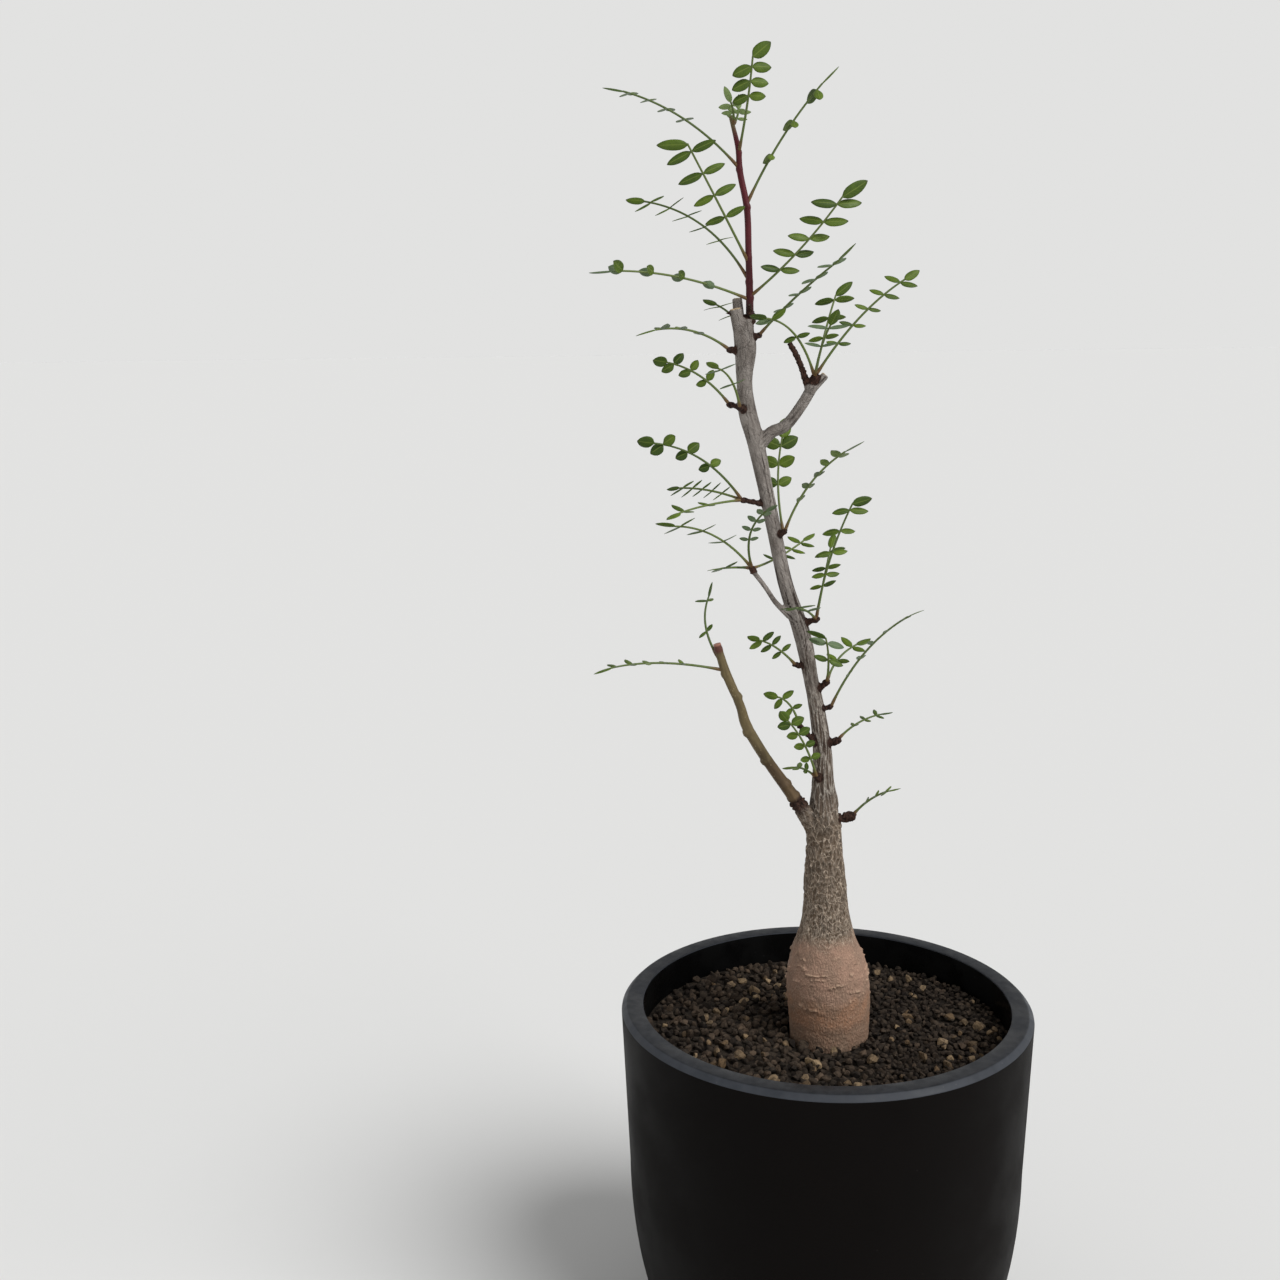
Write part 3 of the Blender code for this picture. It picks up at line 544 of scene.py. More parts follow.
def stone_shape(seed, corners):
    """Return the points and faces of one angular stone of radius 1, its edges a little worn."""
    draw = random.Random(seed)
    shape = bmesh.new()
    for _ in range(corners):
        shape.verts.new(Vector([draw.gauss(0, 1) for _ in "xyz"]).normalized() * draw.uniform(0.85, 1.1))
    hull = bmesh.ops.convex_hull(shape, input=shape.verts)
    inner = {element for element in hull["geom_interior"] if isinstance(element, bmesh.types.BMVert)}
    bmesh.ops.delete(shape, geom=list(inner), context="VERTS")
    bmesh.ops.subdivide_edges(shape, edges=shape.edges, cuts=1, use_grid_fill=True)
    axes = {"use_axis_x": True, "use_axis_y": True, "use_axis_z": True}
    bmesh.ops.smooth_vert(shape, verts=shape.verts, factor=0.4, **axes)
    for vertex in shape.verts:
        vertex.co *= 1.1 + 0.12 * noise.noise(vertex.co * 2.5 + Vector((seed, 0, 0)))
    points = [vertex.co.copy() for vertex in shape.verts]
    faces = [[vertex.index for vertex in face.verts] for face in shape.faces]
    shape.free()
    return points, faces


def turn_at_random(draw):
    """Return a random rotation."""
    axis = Vector([draw.gauss(0, 1) for _ in "xyz"]).normalized()
    return Matrix.Rotation(draw.uniform(0, 2 * math.pi), 3, axis)


def stone_places(draw, spacing, keep_clear):
    """Return jittered places of a grid that covers the soil's surface, clear of the trunk and the pot."""
    places, row_step = [], 0.87 * spacing
    for row in range(int(2 * INNER_RADIUS / row_step) + 1):
        for column in range(int(2 * INNER_RADIUS / spacing) + 1):
            x = -INNER_RADIUS + (column + 0.5 * (row % 2) + draw.uniform(-0.3, 0.3)) * spacing
            y = -INNER_RADIUS + row * row_step + draw.uniform(-0.3, 0.3) * spacing
            radius = math.hypot(x, y)
            from_plant = math.hypot(x - 1.3, y)
            if radius < INNER_RADIUS - keep_clear and from_plant > 15.0 + keep_clear * 0.6:
                places.append((x, y))
    return places


def lay_stones(name, stones, shapes):
    """Make one piece of all the stones, each with its place, radius, tone and share of tan."""
    draw = random.Random(name)
    points, faces, numbers = [], [], []
    for x, y, z, radius, tone, tan in stones:
        shape_points, shape_faces = shapes[draw.randrange(len(shapes))]
        turn = turn_at_random(draw)
        squash = Vector((draw.uniform(0.85, 1.2), draw.uniform(0.8, 1.1), draw.uniform(0.7, 0.95)))
        first = len(points)
        for point in shape_points:
            moved = turn @ (point * squash) * radius
            points.append((x + moved.x, y + moved.y, z + moved.z))
        faces += [[first + k for k in face] for face in shape_faces]
        numbers += [(tone, tan, 0.0)] * len(shape_points)
    mesh = bpy.data.meshes.new(name)
    mesh.from_pydata(points, [], faces)
    keep_numbers(mesh, "grain", numbers)
    return finish_piece(name, mesh, materials=[grit], sharp=32)


def dark_stones(low_x, high_x, spacing, seed):
    """Return the dark grains between two distances to the right of the pot's middle."""
    draw = random.Random(seed)
    stones = []
    for x, y in stone_places(draw, spacing, spacing * 0.45):
        if low_x <= x < high_x:
            radius = spacing * draw.uniform(0.36, 0.66)
            z = SOIL_LEVEL - 0.7 + soil_swell(x, y) + draw.uniform(-0.8, 0.6)
            tone = min(1.0, abs(draw.gauss(0.12, 0.34))) * (1.0 if x < 12 else 0.6)
            stones.append((x, y, z, radius, tone, 0.0))
    return stones


def tan_stones(count, seed):
    """Return the larger tan grains, thickest at the front."""
    draw = random.Random(seed)
    stones = []
    while len(stones) < count:
        angle, radius = draw.uniform(0, 2 * math.pi), 17 + 46 * math.sqrt(draw.random())
        x, y = radius * math.cos(angle), radius * math.sin(angle)
        size = 1.1 + 1.5 * draw.random() ** 1.7
        if math.hypot(x - 1.3, y) < 16 + size or radius > INNER_RADIUS - 1.5 - size:
            continue
        if y > 0 and draw.random() < 0.55:
            continue
        z = SOIL_LEVEL + soil_swell(x, y) + draw.uniform(-0.6, 0.3)
        stones.append((x, y, z, size, draw.random(), draw.uniform(0.45, 1.0)))
    return stones


shapes = [stone_shape(seed, 14) for seed in range(STONE_SHAPES)]
grit_left = lay_stones("grit_left", dark_stones(-70, 12, 3.3, 3), shapes)
grit_right = lay_stones("grit_right", dark_stones(12, 70, 2.5, 4), shapes)
grit_tan = lay_stones("grit_tan", tan_stones(120, 5), shapes)
for piece in (grit_left, grit_right, grit_tan):
    print(piece.name, "triangles:", count_triangles(piece))

# %% [markdown]
# ## The woody plant's routes
# Each limb is given by the places where its course or girth changes: x, y, z and radius. A smooth curve
# passes through them. These are the same numbers as in the plain solid, so whatever is built on them, from
# bark to buds, lands where the solid's own bark and buds are.

# %% Routes of the limbs
CAUDEX = [
    (1.5, 0, HOLE_FLOOR + GAP, 13.2), (1.5, 0, 114, 14.0), (1.5, 0, 128, 14.7), (1, 0, 140, 15.1),
    (0.5, 0, 149, 14.3), (0, 0, 156, 12.2), (0, 0, 163, 9.4), (-0.3, 0, 172, 7.8), (-0.6, 0, 182, 7.1),
    (-1, 0, 193, 6.2), (-1, 0, 206, 5.6),
]
TRUNK = [
    (-1, 0, 200, 5.4), (-1.2, 0, 210, 4.9), (-1.6, 0.5, 219, 3.9), (-2, 1, 231, 3.3), (-4, 1, 245, 2.8),
    (-6.2, 1, 256, 2.6), (-9.5, 0, 272, 3.0), (-15.5, -1.5, 290, 2.6), (-19.5, -2.5, 308, 2.5),
    (-23.3, -3, 326, 2.6), (-26.5, -2.5, 341, 3.0), (-29, -2, 350, 3.1), (-30, -1, 360, 2.7),
    (-29.6, 0, 371, 3.7), (-30.2, 0, 377, 3.5), (-30.2, 0, 381, 3.3),
]
FORK = [(-25.5, -2.5, 338, 2.4), (-21, -3, 343, 2.1), (-16, -4, 345.5, 2.0), (-11, -5, 352, 1.9),
        (-7, -6, 359, 1.9)]
TWIG = [(-14, -1.5, 279, 1.3), (-19, -3, 284, 0.95), (-23, -5, 290, 0.85), (-27.5, -6, 296, 0.9)]
BRANCH_STUMP = [(-3, 0, 199, 3.6), (-6.5, -1, 205, 3.1), (-9.5, -2, 209.5, 2.6), (-11.5, -2.6, 212.5, 2.45)]
SIDE_BRANCH = [
    (-11.75, -2.7, 212.85, 2.3), (-16, -4, 219, 2.1), (-23, -6, 229.5, 1.9), (-29.5, -7.5, 241, 1.9),
    (-32, -8.5, 249, 1.6), (-37, -9, 261, 1.6), (-40, -9, 271, 1.3),
]
RED_SHOOT = [
    (-28.1, 0.3, 381.4, 1.35), (-28.2, 0.5, 392, 1.2), (-28.5, 1, 403, 1.1), (-29, 1.5, 417, 1.1),
    (-31.3, 2, 429, 1.05), (-32, 2, 437, 0.9), (-34.5, 2, 447, 0.6),
]
CUT_STUBS = {
    "front": [(-31, -0.8, 374, 2.3), (-33.2, -2.2, 384.5, 2.05)],
    "rear": [(-31, 1.5, 374, 2.0), (-32.2, 3.4, 388, 1.7)],
    "fork_right": [(-8, -5.8, 357, 1.6), (-3, -6.4, 362.3, 1.35)],
    "fork_left": [(-8.5, -5.6, 357, 1.3), (-11.5, -5.2, 366, 1.0), (-15, -4.6, 373, 0.95)],
}
LIMBS = {"trunk": TRUNK, "fork": FORK, "twig": TWIG, "side_branch": SIDE_BRANCH, "red_shoot": RED_SHOOT}

# A spur: the limb and height it grows from, its reach from the limb's axis, and its radius.
SPURS = {
    "crown_right": ("trunk", 374, (4.7, -1.5, 1.6), 1.1),
    "crown_left": ("trunk", 370, (-5.4, -1.2, 0.8), 1.2),
    "crown_back": ("trunk", 377, (-0.6, 4.6, 1.4), 1.1),
    "crown_low": ("trunk", 351, (-5.8, 1.5, 1.2), 1.1),
    "crown_front": ("trunk", 350, (-2.8, -4.4, 1.2), 1.1),
    "fork_bud": ("fork", 358.5, (0.8, -0.2, 3.4), 1.5),
    "left_spur": ("trunk", 318, (-9.4, -1.2, 2), 1.0),
    "twig_tip": ("twig", 295.5, (-0.8, -0.3, 1.6), 1.2),
    "right_spur": ("trunk", 306.5, (2.8, -3.4, 3), 1.0),
    "right_back": ("trunk", 306, (2.6, 3.2, 3), 1.0),
    "mid_right": ("trunk", 276, (5.8, -1.6, 2), 1.2),
    "left_bud": ("trunk", 260, (-4.8, -1.6, 1), 1.1),
    "low_right": ("trunk", 251, (4.4, -1.4, 4.4), 1.2),
    "low_right_bud": ("trunk", 245, (4.6, -2.6, 1.6), 1.0),
    "low_twig": ("trunk", 230, (-8.6, -3.4, 10), 1.1),
    "low_round": ("trunk", 231.5, (5.2, -1.6, 1.8), 1.5),
    "low_left": ("trunk", 219, (-2.8, -4.6, 2.2), 1.2),
    "foot_right": ("trunk", 203.5, (9.6, -1.6, 1.8), 1.4),
}
BUD_SWELL = 1.35


def spline_point(points, position):
    """Return the point at a position along a smooth curve through all the points."""
    last = len(points) - 1
    index = min(int(position), last - 1)
    t = position - index
    near = [Vector(points[min(max(index + k, 0), last)]) for k in (-1, 0, 1, 2)]
    a, b, c, d = near
    return 0.5 * (2 * b + (c - a) * t + (2 * a - 5 * b + 4 * c - d) * t * t
                  + (3 * b - a - 3 * c + d) * t ** 3)


def smooth_route(points, spacing):
    """Return evenly spaced points of x, y, z and radius along a limb."""
    fine = [spline_point(points, k / 20) for k in range(20 * (len(points) - 1) + 1)]
    lengths = [0.0]
    for a, b in zip(fine, fine[1:]):
        lengths.append(lengths[-1] + (b.to_3d() - a.to_3d()).length)
    count = max(1, round(lengths[-1] / spacing))
    route, k = [], 0
    for step in range(count + 1):
        wanted = lengths[-1] * step / count
        while k < len(fine) - 2 and lengths[k + 1] < wanted:
            k += 1
        share = (wanted - lengths[k]) / (lengths[k + 1] - lengths[k])
        route.append(fine[k].lerp(fine[k + 1], min(share, 1.0)))
    return route


def place_on(limb, height):
    """Return the axis point and radius of a limb at a height."""
    route = smooth_route(LIMBS[limb], 1.0)
    best = min(route, key=lambda point: abs(point.z - height))
    return best.to_3d(), best.w


def spur_tip(name):
    """Return the end point of a spur and the radius of the bud on it."""
    limb, height, reach, radius = SPURS[name]
    axis, _ = place_on(limb, height)
    return axis + Vector(reach), radius * BUD_SWELL


print("limbs:", list(LIMBS), "and", len(SPURS), "spurs")

# %% [markdown]
# ## The bark
# The trunk, its fork, stubs, twig, spurs and buds grew as one body, with no seam where a spur leaves the
# trunk. Joining tubes with Booleans leaves hard creases there. Instead the overlapping tubes are turned into
# one skin of small even squares by a voxel remesh, which melts them together, and every point of that skin
# is then moved in or out by the bark's relief:
# - the swollen base is smooth, with short pale scars that run across it;
# - above it stands a net of raised fibres, close at first and then in long diamonds;
# - higher up the net stretches into upright fissures and fades into nearly smooth bark.

# %% Tubes along the routes
VOXEL = 0.42
LIMB_SPACING = 1.0
SCALE_COUNT = 18


def limb_tube(shape, route, sides):
    """Add a closed tube along a route to a mesh."""
    side = Vector((1, 0, 0))
    rings = []
    for k, point in enumerate(route):
        ahead = route[min(k + 1, len(route) - 1)].to_3d() - route[max(k - 1, 0)].to_3d()
        ahead.normalize()
        side = (side - ahead * side.dot(ahead)).normalized()
        other = ahead.cross(side)
        ring = []
        for step in range(sides):
            angle = 2 * math.pi * step / sides
            offset = side * math.cos(angle) + other * math.sin(angle)
            ring.append(shape.verts.new(point.to_3d() + offset * point.w))
        rings.append(ring)
    for lower, upper in zip(rings, rings[1:]):
        for k in range(sides):
            shape.faces.new((lower[k], lower[(k + 1) % sides], upper[(k + 1) % sides], upper[k]))
    shape.faces.new(list(reversed(rings[0])))
    shape.faces.new(rings[-1])


def spur_route(name):
    """Return the route of a spur and its bud, from inside the limb that it grows on."""
    limb, height, reach, radius = SPURS[name]
    axis, _ = place_on(limb, height)
    end, swell = spur_tip(name)
    ahead = Vector(reach).normalized()
    return [(*axis, radius * 1.3), (*(axis + Vector(reach) * 0.5), radius * 0.95),
            (*(end - ahead * swell), radius * 0.9), (*end, radius),
            (*(end + ahead * swell * 0.8), radius * 0.45)]


def crown_scales():
    """Return the routes of the bud scales round the red shoot's foot, and of the dark spike beside it."""
    draw = random.Random("crown scales")
    foot = Vector(RED_SHOOT[0][:3])
    routes = [[(-33, -2, 382.6, 0.55), (-36.6, -2.4, 383, 0.3)]]
    for k in range(SCALE_COUNT):
        angle = 2.4 * k
        outward = Vector((math.cos(angle), math.sin(angle), 0))
        start = foot + outward * 0.9 + Vector((0, 0, draw.uniform(-2.0, 3.6)))
        end = start + outward * draw.uniform(0.6, 1.5) + Vector((0, 0, draw.uniform(0.7, 1.8)))
        routes.append([(*start, 0.85), (*end, 0.4)])
    return routes


def wood_core():
    """Return one mesh of all the overlapping tubes of the woody plant."""
    shape = bmesh.new()
    for points, sides in ((CAUDEX, 64), (TRUNK, 40), (FORK, 24), (TWIG, 20), (BRANCH_STUMP, 24)):
        limb_tube(shape, smooth_route(points, LIMB_SPACING), sides)
    for points in CUT_STUBS.values():
        limb_tube(shape, smooth_route(points, LIMB_SPACING), 24)
    for route in [spur_route(name) for name in SPURS] + crown_scales():
        limb_tube(shape, smooth_route(route, 0.5), 16)
    mesh = bpy.data.meshes.new("wood_core")
    shape.to_mesh(mesh)
    shape.free()
    return mesh


def melt_together(mesh, voxel):
    """Return the mesh's overlapping bodies as one even skin."""
    holder = bpy.data.objects.new("wood_core", mesh)
    bpy.context.scene.collection.objects.link(holder)
    remesh = holder.modifiers.new("Melt", "REMESH")
    remesh.mode = "VOXEL"
    remesh.voxel_size = voxel
    bpy.context.view_layer.update()
    depsgraph = bpy.context.evaluated_depsgraph_get()
    skin = bpy.data.meshes.new_from_object(holder.evaluated_get(depsgraph), depsgraph=depsgraph)
    bpy.data.objects.remove(holder, do_unlink=True)
    return skin


wood_mesh = melt_together(wood_core(), VOXEL)
print("skin of the woody plant:", len(wood_mesh.vertices), "points")

# %% [markdown]
# Bark grows along its limb, so its fissures have to follow each limb's lean. Every point of the skin is
# therefore also given a place as if its limb stood upright: how far it lies beside the limb's axis, and how
# far along it. Both the relief and the colours are drawn in that place. The relief also tells the colours
# where to go, so each point keeps three more numbers: how strongly a raised fibre or scar shows there, how
# near it is to a saw cut, and how near to a bud.

# %% Raise the bark
CUT_ENDS = [Vector(CUT_STUBS[name][-1][:3]) for name in ("front", "rear", "fork_right")]
SHOOT_SCALES = ((-28.1, 0.3, 380.5), (-28.1, 0.3, 384.5), 1.6)
DARK_SPIKE = ((-33.4, -2.0, 382.6), (-36.6, -2.4, 383.0), 0.6)
DARK_STUB = ((-9.5, -5.5, 360.5), (-15.0, -4.6, 373.0), 1.3)
STUMP_END = Vector(BRANCH_STUMP[-1][:3])


def limb_axes():
    """Return every limb's axis points, each with the limb's direction and the way travelled to it."""
    axes = []
    for points in (CAUDEX, TRUNK, FORK, TWIG, BRANCH_STUMP, *CUT_STUBS.values()):
        route = [point.to_3d() for point in smooth_route(points, LIMB_SPACING)]
        way = points[0][2]
        for k, point in enumerate(route):
            before, after = route[max(k - 1, 0)], route[min(k + 1, len(route) - 1)]
            way += (point - before).length
            axes.append((point, (after - before).normalized(), way))
    return axes


def upright_place(point, axis, ahead, way):
    """Return a point's place beside and along a limb's axis, as if the limb stood upright."""
    side = (Vector((1, 0, 0)) - ahead * ahead.x).normalized()
    offset = point - axis
    return Vector((offset.dot(side), offset.dot(ahead.cross(side)), way + offset.dot(ahead)))


def dark_parts():
    """Return the parts with dark scaly bark: the start, end and radius of each spur, bud and stub."""
    parts = [SHOOT_SCALES, DARK_SPIKE, DARK_STUB]
    for name, (limb, height, reach, radius) in SPURS.items():
        axis, girth = place_on(limb, height)
        end, _ = spur_tip(name)
        parts.append((axis + Vector(reach).normalized() * (girth + 0.8), end, radius * 1.1))
    return [(Vector(start), Vector(end), radius) for start, end, radius in parts]


def distance_from_line(point, start, end):
    """Return how far a point lies from the line between two ends."""
    line = end - start
    share = min(max((point - start).dot(line) / line.length_squared, 0.0), 1.0)
    return (point - start - line * share).length


def fade(value, start, end):
    """Return 0 before start, 1 after end, and a smooth step between them."""
    t = min(max((value - start) / (end - start), 0.0), 1.0)
    return t * t * (3 - 2 * t)


def net_of_fibres(x, y, z, width, height, band):
    """Return 1 on the lines of an irregular net and 0 in its meshes."""
    sway = noise.noise_vector(Vector((x, y, z)) / 5) * width * 0.55
    place = Vector(((x + sway.x) / width, (y + sway.y) / width, (z + sway.z * 2) / height))
    distances, _ = noise.voronoi(place)
    return 1 - fade(distances[1] - distances[0], band * 0.3, band)


def base_scars(x, y, z):
    """Return 1 on the short ragged scars that run across the swollen base."""
    ragged = 0.2 * noise.noise(Vector((x / 1.3, y / 1.3, z / 1.1)))
    line = abs(noise.noise(Vector((x / 12, y / 12, z / 3.0 + 4))) + ragged)
    patch = fade(noise.noise(Vector((x / 4.0, y / 4.0, z / 4 + 20))), 0.05, 0.28)
    return (1 - fade(line, 0.02, 0.09)) * patch * fade(z, 134, 139)


def bark_relief(place, z, lumpy):
    """Return the bark's height in millimetres and how strongly a fibre or scar shows."""
    x, y, along = place
    on_base = 1 - fade(z, 153, 161)
    close_net = net_of_fibres(x, y, along, 1.9, 3.8, 0.26) * fade(z, 155, 163) * (1 - fade(z, 174, 184))
    long_net = net_of_fibres(x, y, along, 3.2, 6.5, 0.2) * fade(z, 172, 182) * (1 - fade(z, 200, 225))
    fissure = abs(noise.noise(Vector((x / 1.2, y / 1.2, along / 26))))
    patch = fade(noise.noise(Vector((x / 4, y / 4, along / 26 + 7))), -0.3, 0.15)
    patch *= 1 - 0.75 * fade(z, 285, 330)
    fissures = (1 - fade(fissure, 0.0, 0.14)) * fade(z, 196, 215) * max(patch, 1 - fade(z, 250, 280))
    threads = noise.noise(Vector((x / 0.7, y / 0.7, along / 5))) * fade(z, 157, 170)
    scars = base_scars(x, y, along) * on_base
    rise = 0.45 * close_net + 0.7 * long_net + 0.9 * scars + 0.2 * threads - 0.6 * fissures
    rise += 0.35 * on_base * noise.noise(Vector((x / 9, y / 9, along / 2.6)))
    rise += 0.2 * on_base * noise.noise(Vector((x / 0.8, y / 0.8, along / 0.8)))
    rise += 1.3 * lumpy * noise.noise(Vector((x / 1.3, y / 1.3, along / 0.8)))
    return rise, max(close_net, long_net, scars, 0.5 + 0.5 * threads - fissures)


def relief_limit(z):
    """Return the most that the bark may rise at a height, so that thin limbs keep their girth."""
    return 0.75 - 0.45 * fade(z, 205, 250)


def raise_bark(mesh):
    """Move each point of the skin by the relief, and return each point's numbers and upright place."""
    numbers, places = [], []
    axes, parts = limb_axes(), dark_parts()
    nearest = KDTree(len(axes))
    for index, (axis, _, _) in enumerate(axes):
        nearest.insert(axis, index)
    nearest.balance()
    normals = [Vector(vertex.normal) for vertex in mesh.vertices]
    for vertex, normal in zip(mesh.vertices, normals):
        point = Vector(vertex.co)
        place = upright_place(point, *axes[nearest.find(point)[1]])
        cut = 1 - fade(min((point - end).length for end in CUT_ENDS), 1.9, 2.4)
        cut *= fade(normal.z, 0.5, 0.8)
        dark = 1 - fade(min(distance_from_line(point, *part[:2]) / part[2] for part in parts), 1.2, 1.9)
        stump = 1 - fade((point - STUMP_END).length, 3.0, 7.5)
        rise, fibre = bark_relief(place, point.z, max(dark, stump))
        limit = relief_limit(point.z) * (1 - 0.8 * cut)
        vertex.co += normal * min(max(rise * limit, -0.4), limit)
        numbers.append((min(max(fibre, 0.0), 1.0), cut, max(dark, 0.8 * stump)))
        places.append(place * MM)
    return numbers, places


bark_numbers, bark_places = raise_bark(wood_mesh)
keep_numbers(wood_mesh, "bark", bark_numbers)
keep_numbers(wood_mesh, "limb", bark_places)
print("bark raised on", len(wood_mesh.vertices), "points")

# %% [markdown]
# The base is rust-brown above the soil and turns mauve towards its shoulder. The net's threads are pale over
# dark brown, and thinner than the skin's squares can carry, so two sizes of `thread_net` draw them in the
# colour and the bump. Above the side branch the threads grow long and run along the trunk, and higher up the
# bark is smooth and grey with dark fissures. The saw cuts are tan, and the spurs nearly black-brown. The
# colours follow the height and the kept numbers.

# %% The bark's finish
def base_bark(tree, limb, fibre, height, cloud, fine):
    """Return the colours of the swollen base: rust below, mauve above, with pits and pale scars."""
    rust = mix_colors(tree, cloud, seen(62, 28, 12), seen(126, 70, 32))
    foot = mix_colors(tree, cloud, seen(38, 16, 8), seen(84, 40, 18))
    rust = mix_colors(tree, fade_range(tree, height, 0.1265, 0.132), foot, rust)
    mauve = mix_colors(tree, cloud, seen(84, 58, 50), seen(130, 94, 82))
    base = mix_colors(tree, fade_range(tree, height, 0.1365, 0.1415), rust, mauve)
    base = mix_colors(tree, fade_range(tree, fine, 0.55, 0.95, 0.0, 0.4), base, seen(170, 138, 118))
    pitted = place_group(tree, SPECKLE, limb, Spacing=0.7, Share=0.34)
    base = mix_colors(tree, combine(tree, "MULTIPLY", pitted, 0.6), base, seen(48, 26, 18))
    return mix_colors(tree, combine(tree, "MULTIPLY", fibre, 0.65), base, seen(206, 176, 150))


def net_bark(tree, limb, fibre, height, cloud, fine):
    """Return the colours of the net above the base, and its threads."""
    large = place_group(tree, THREAD_NET, limb, Size=2.8, Stretch=1.9, Thread=0.075)
    small = place_group(tree, THREAD_NET, limb, Size=1.25, Stretch=2.0, Thread=0.13)
    close = combine(tree, "MULTIPLY", small, fade_range(tree, height, 0.186, 0.172, 0.25, 0.8))
    threads = combine(tree, "MAXIMUM", large, close)
    ground = mix_colors(tree, cloud, seen(38, 27, 18), seen(74, 58, 43))
    pale = mix_colors(tree, fine, seen(128, 110, 92), seen(204, 188, 170))
    shown = combine(tree, "MAXIMUM", threads, combine(tree, "MULTIPLY", fibre, 0.4))
    return mix_colors(tree, shown, ground, pale), threads


def upper_bark(tree, limb, fibre, height, cloud, fine):
    """Return the colours of the upper trunk: long pale threads on brown, then smooth grey."""
    threads = place_group(tree, THREAD_NET, limb, Size=1.4, Stretch=9.0, Thread=0.16)
    ground = mix_colors(tree, cloud, seen(62, 50, 42), seen(104, 91, 80))
    pale = mix_colors(tree, fine, seen(132, 122, 112), seen(182, 174, 164))
    threaded = mix_colors(tree, threads, ground, pale)
    grey = mix_colors(tree, cloud, seen(108, 100, 94), seen(150, 143, 137))
    smooth = mix_colors(tree, fade_range(tree, fibre, 0.0, 0.4), seen(52, 43, 38), grey)
    streaks = place_group(tree, MOTTLE, limb, Size=0.7, Stretch=16.0, Contrast=2.2)
    smooth = mix_colors(tree, fade_range(tree, streaks, 0.5, 0.9, 0.0, 0.5), smooth, seen(80, 71, 65))
    return mix_colors(tree, fade_range(tree, height, 0.235, 0.285), threaded, smooth), threads


def bark_finish():
    """Return the bark's material for the whole woody plant."""
    material, tree, shader = new_material("bark", 0.8, specular=0.2)
    fibre, cut, dark = piece_attribute(tree, "bark")
    limb = add_node(tree, "ShaderNodeAttribute", attribute_name="limb").outputs["Vector"]
    place = add_node(tree, "ShaderNodeTexCoord").outputs["Object"]
    broad = place_group(tree, MOTTLE, Size=14.0, Contrast=2.0)
    wander = combine(tree, "MULTIPLY", combine(tree, "SUBTRACT", broad, 0.5), 0.01)
    height = combine(tree, "ADD", add_node(tree, "ShaderNodeSeparateXYZ", {0: place}).outputs[2], wander)
    cloud = place_group(tree, MOTTLE, limb, Size=4.0, Stretch=1.4, Contrast=2.6)
    fine = place_group(tree, MOTTLE, limb, Size=0.6, Stretch=1.6, Contrast=2.8)
    base = base_bark(tree, limb, fibre, height, cloud, fine)
    netted, net = net_bark(tree, limb, fibre, height, cloud, fine)
    upper, strands = upper_bark(tree, limb, fibre, height, cloud, fine)
    on_net = fade_range(tree, height, 0.155, 0.164)
    on_trunk = fade_range(tree, height, 0.2, 0.22)
    wood = mix_colors(tree, on_trunk, mix_colors(tree, on_net, base, netted), upper)
    scales = mix_colors(tree, fine, seen(26, 17, 14), seen(74, 50, 40))
    wood = mix_colors(tree, fade_range(tree, dark, 0.15, 0.85), wood, scales)
    sawn = mix_colors(tree, fine, seen(150, 128, 100), seen(206, 184, 150))
    feed(tree, shader.inputs["Base Color"], mix_colors(tree, fade_range(tree, cut, 0.3, 0.7), wood, sawn))
    feed(tree, shader.inputs["Roughness"], fade_range(tree, cloud, 0.2, 0.8, 0.7, 0.88))
    threads = combine(tree, "MULTIPLY", strands, fade_range(tree, height, 0.29, 0.23))
    threads = combine(tree, "MULTIPLY", threads, on_trunk)
    threads = combine(tree, "ADD", threads, combine(tree, "MULTIPLY", net, on_net))
    feed(tree, shader.inputs["Normal"], bump(tree, combine(tree, "ADD", fine, threads), 0.3, 0.9))
    return material


bark = bark_finish()
wood = finish_piece("woody_plant", wood_mesh, ["trunk"], [bark], sharp=70)
print("woody plant triangles:", count_triangles(wood))

# %% [markdown]
# ## The two young stems
# The side branch is this year's growth, still smooth and olive-tan, with a bump where each old leaf stood
# and a pinkish cut tip. The red shoot is younger still: thin, maroon, and slightly thicker wherever a leaf
# leaves it. Both are single tubes with their girth varied along the way, so a remesh isn't needed.

# %% Build the young stems
def stem_piece(name, points, sides, knots, node, material):
    """Build a young stem as a tube with knots, each with its share of the way, added girth and lean."""
    route = smooth_route(points, 0.6)
    for k, point in enumerate(route):
        share = k / (len(route) - 1)
        for place, swell, lean in knots:
            near = math.exp(-((share - place) / 0.012) ** 2)
            point.w *= 1 + swell * near
            point.x += lean * near
    shape = bmesh.new()
    limb_tube(shape, route, sides)
    mesh = bpy.data.meshes.new(name)
    shape.to_mesh(mesh)
    shape.free()
    shares, places = [], []
    for index, vertex in enumerate(mesh.vertices):
        ring = index // sides
        axis = route[ring].to_3d()
        ahead = route[min(ring + 1, len(route) - 1)].to_3d() - route[max(ring - 1, 0)].to_3d()
        shares.append((ring / (len(route) - 1), 0.0, 0.0))
        places.append(upright_place(vertex.co, axis, ahead.normalized(), 0.6 * ring) * MM)
    keep_numbers(mesh, "stem", shares)
    keep_numbers(mesh, "limb", places)
    return finish_piece(name, mesh, [node], [material], sharp=60)


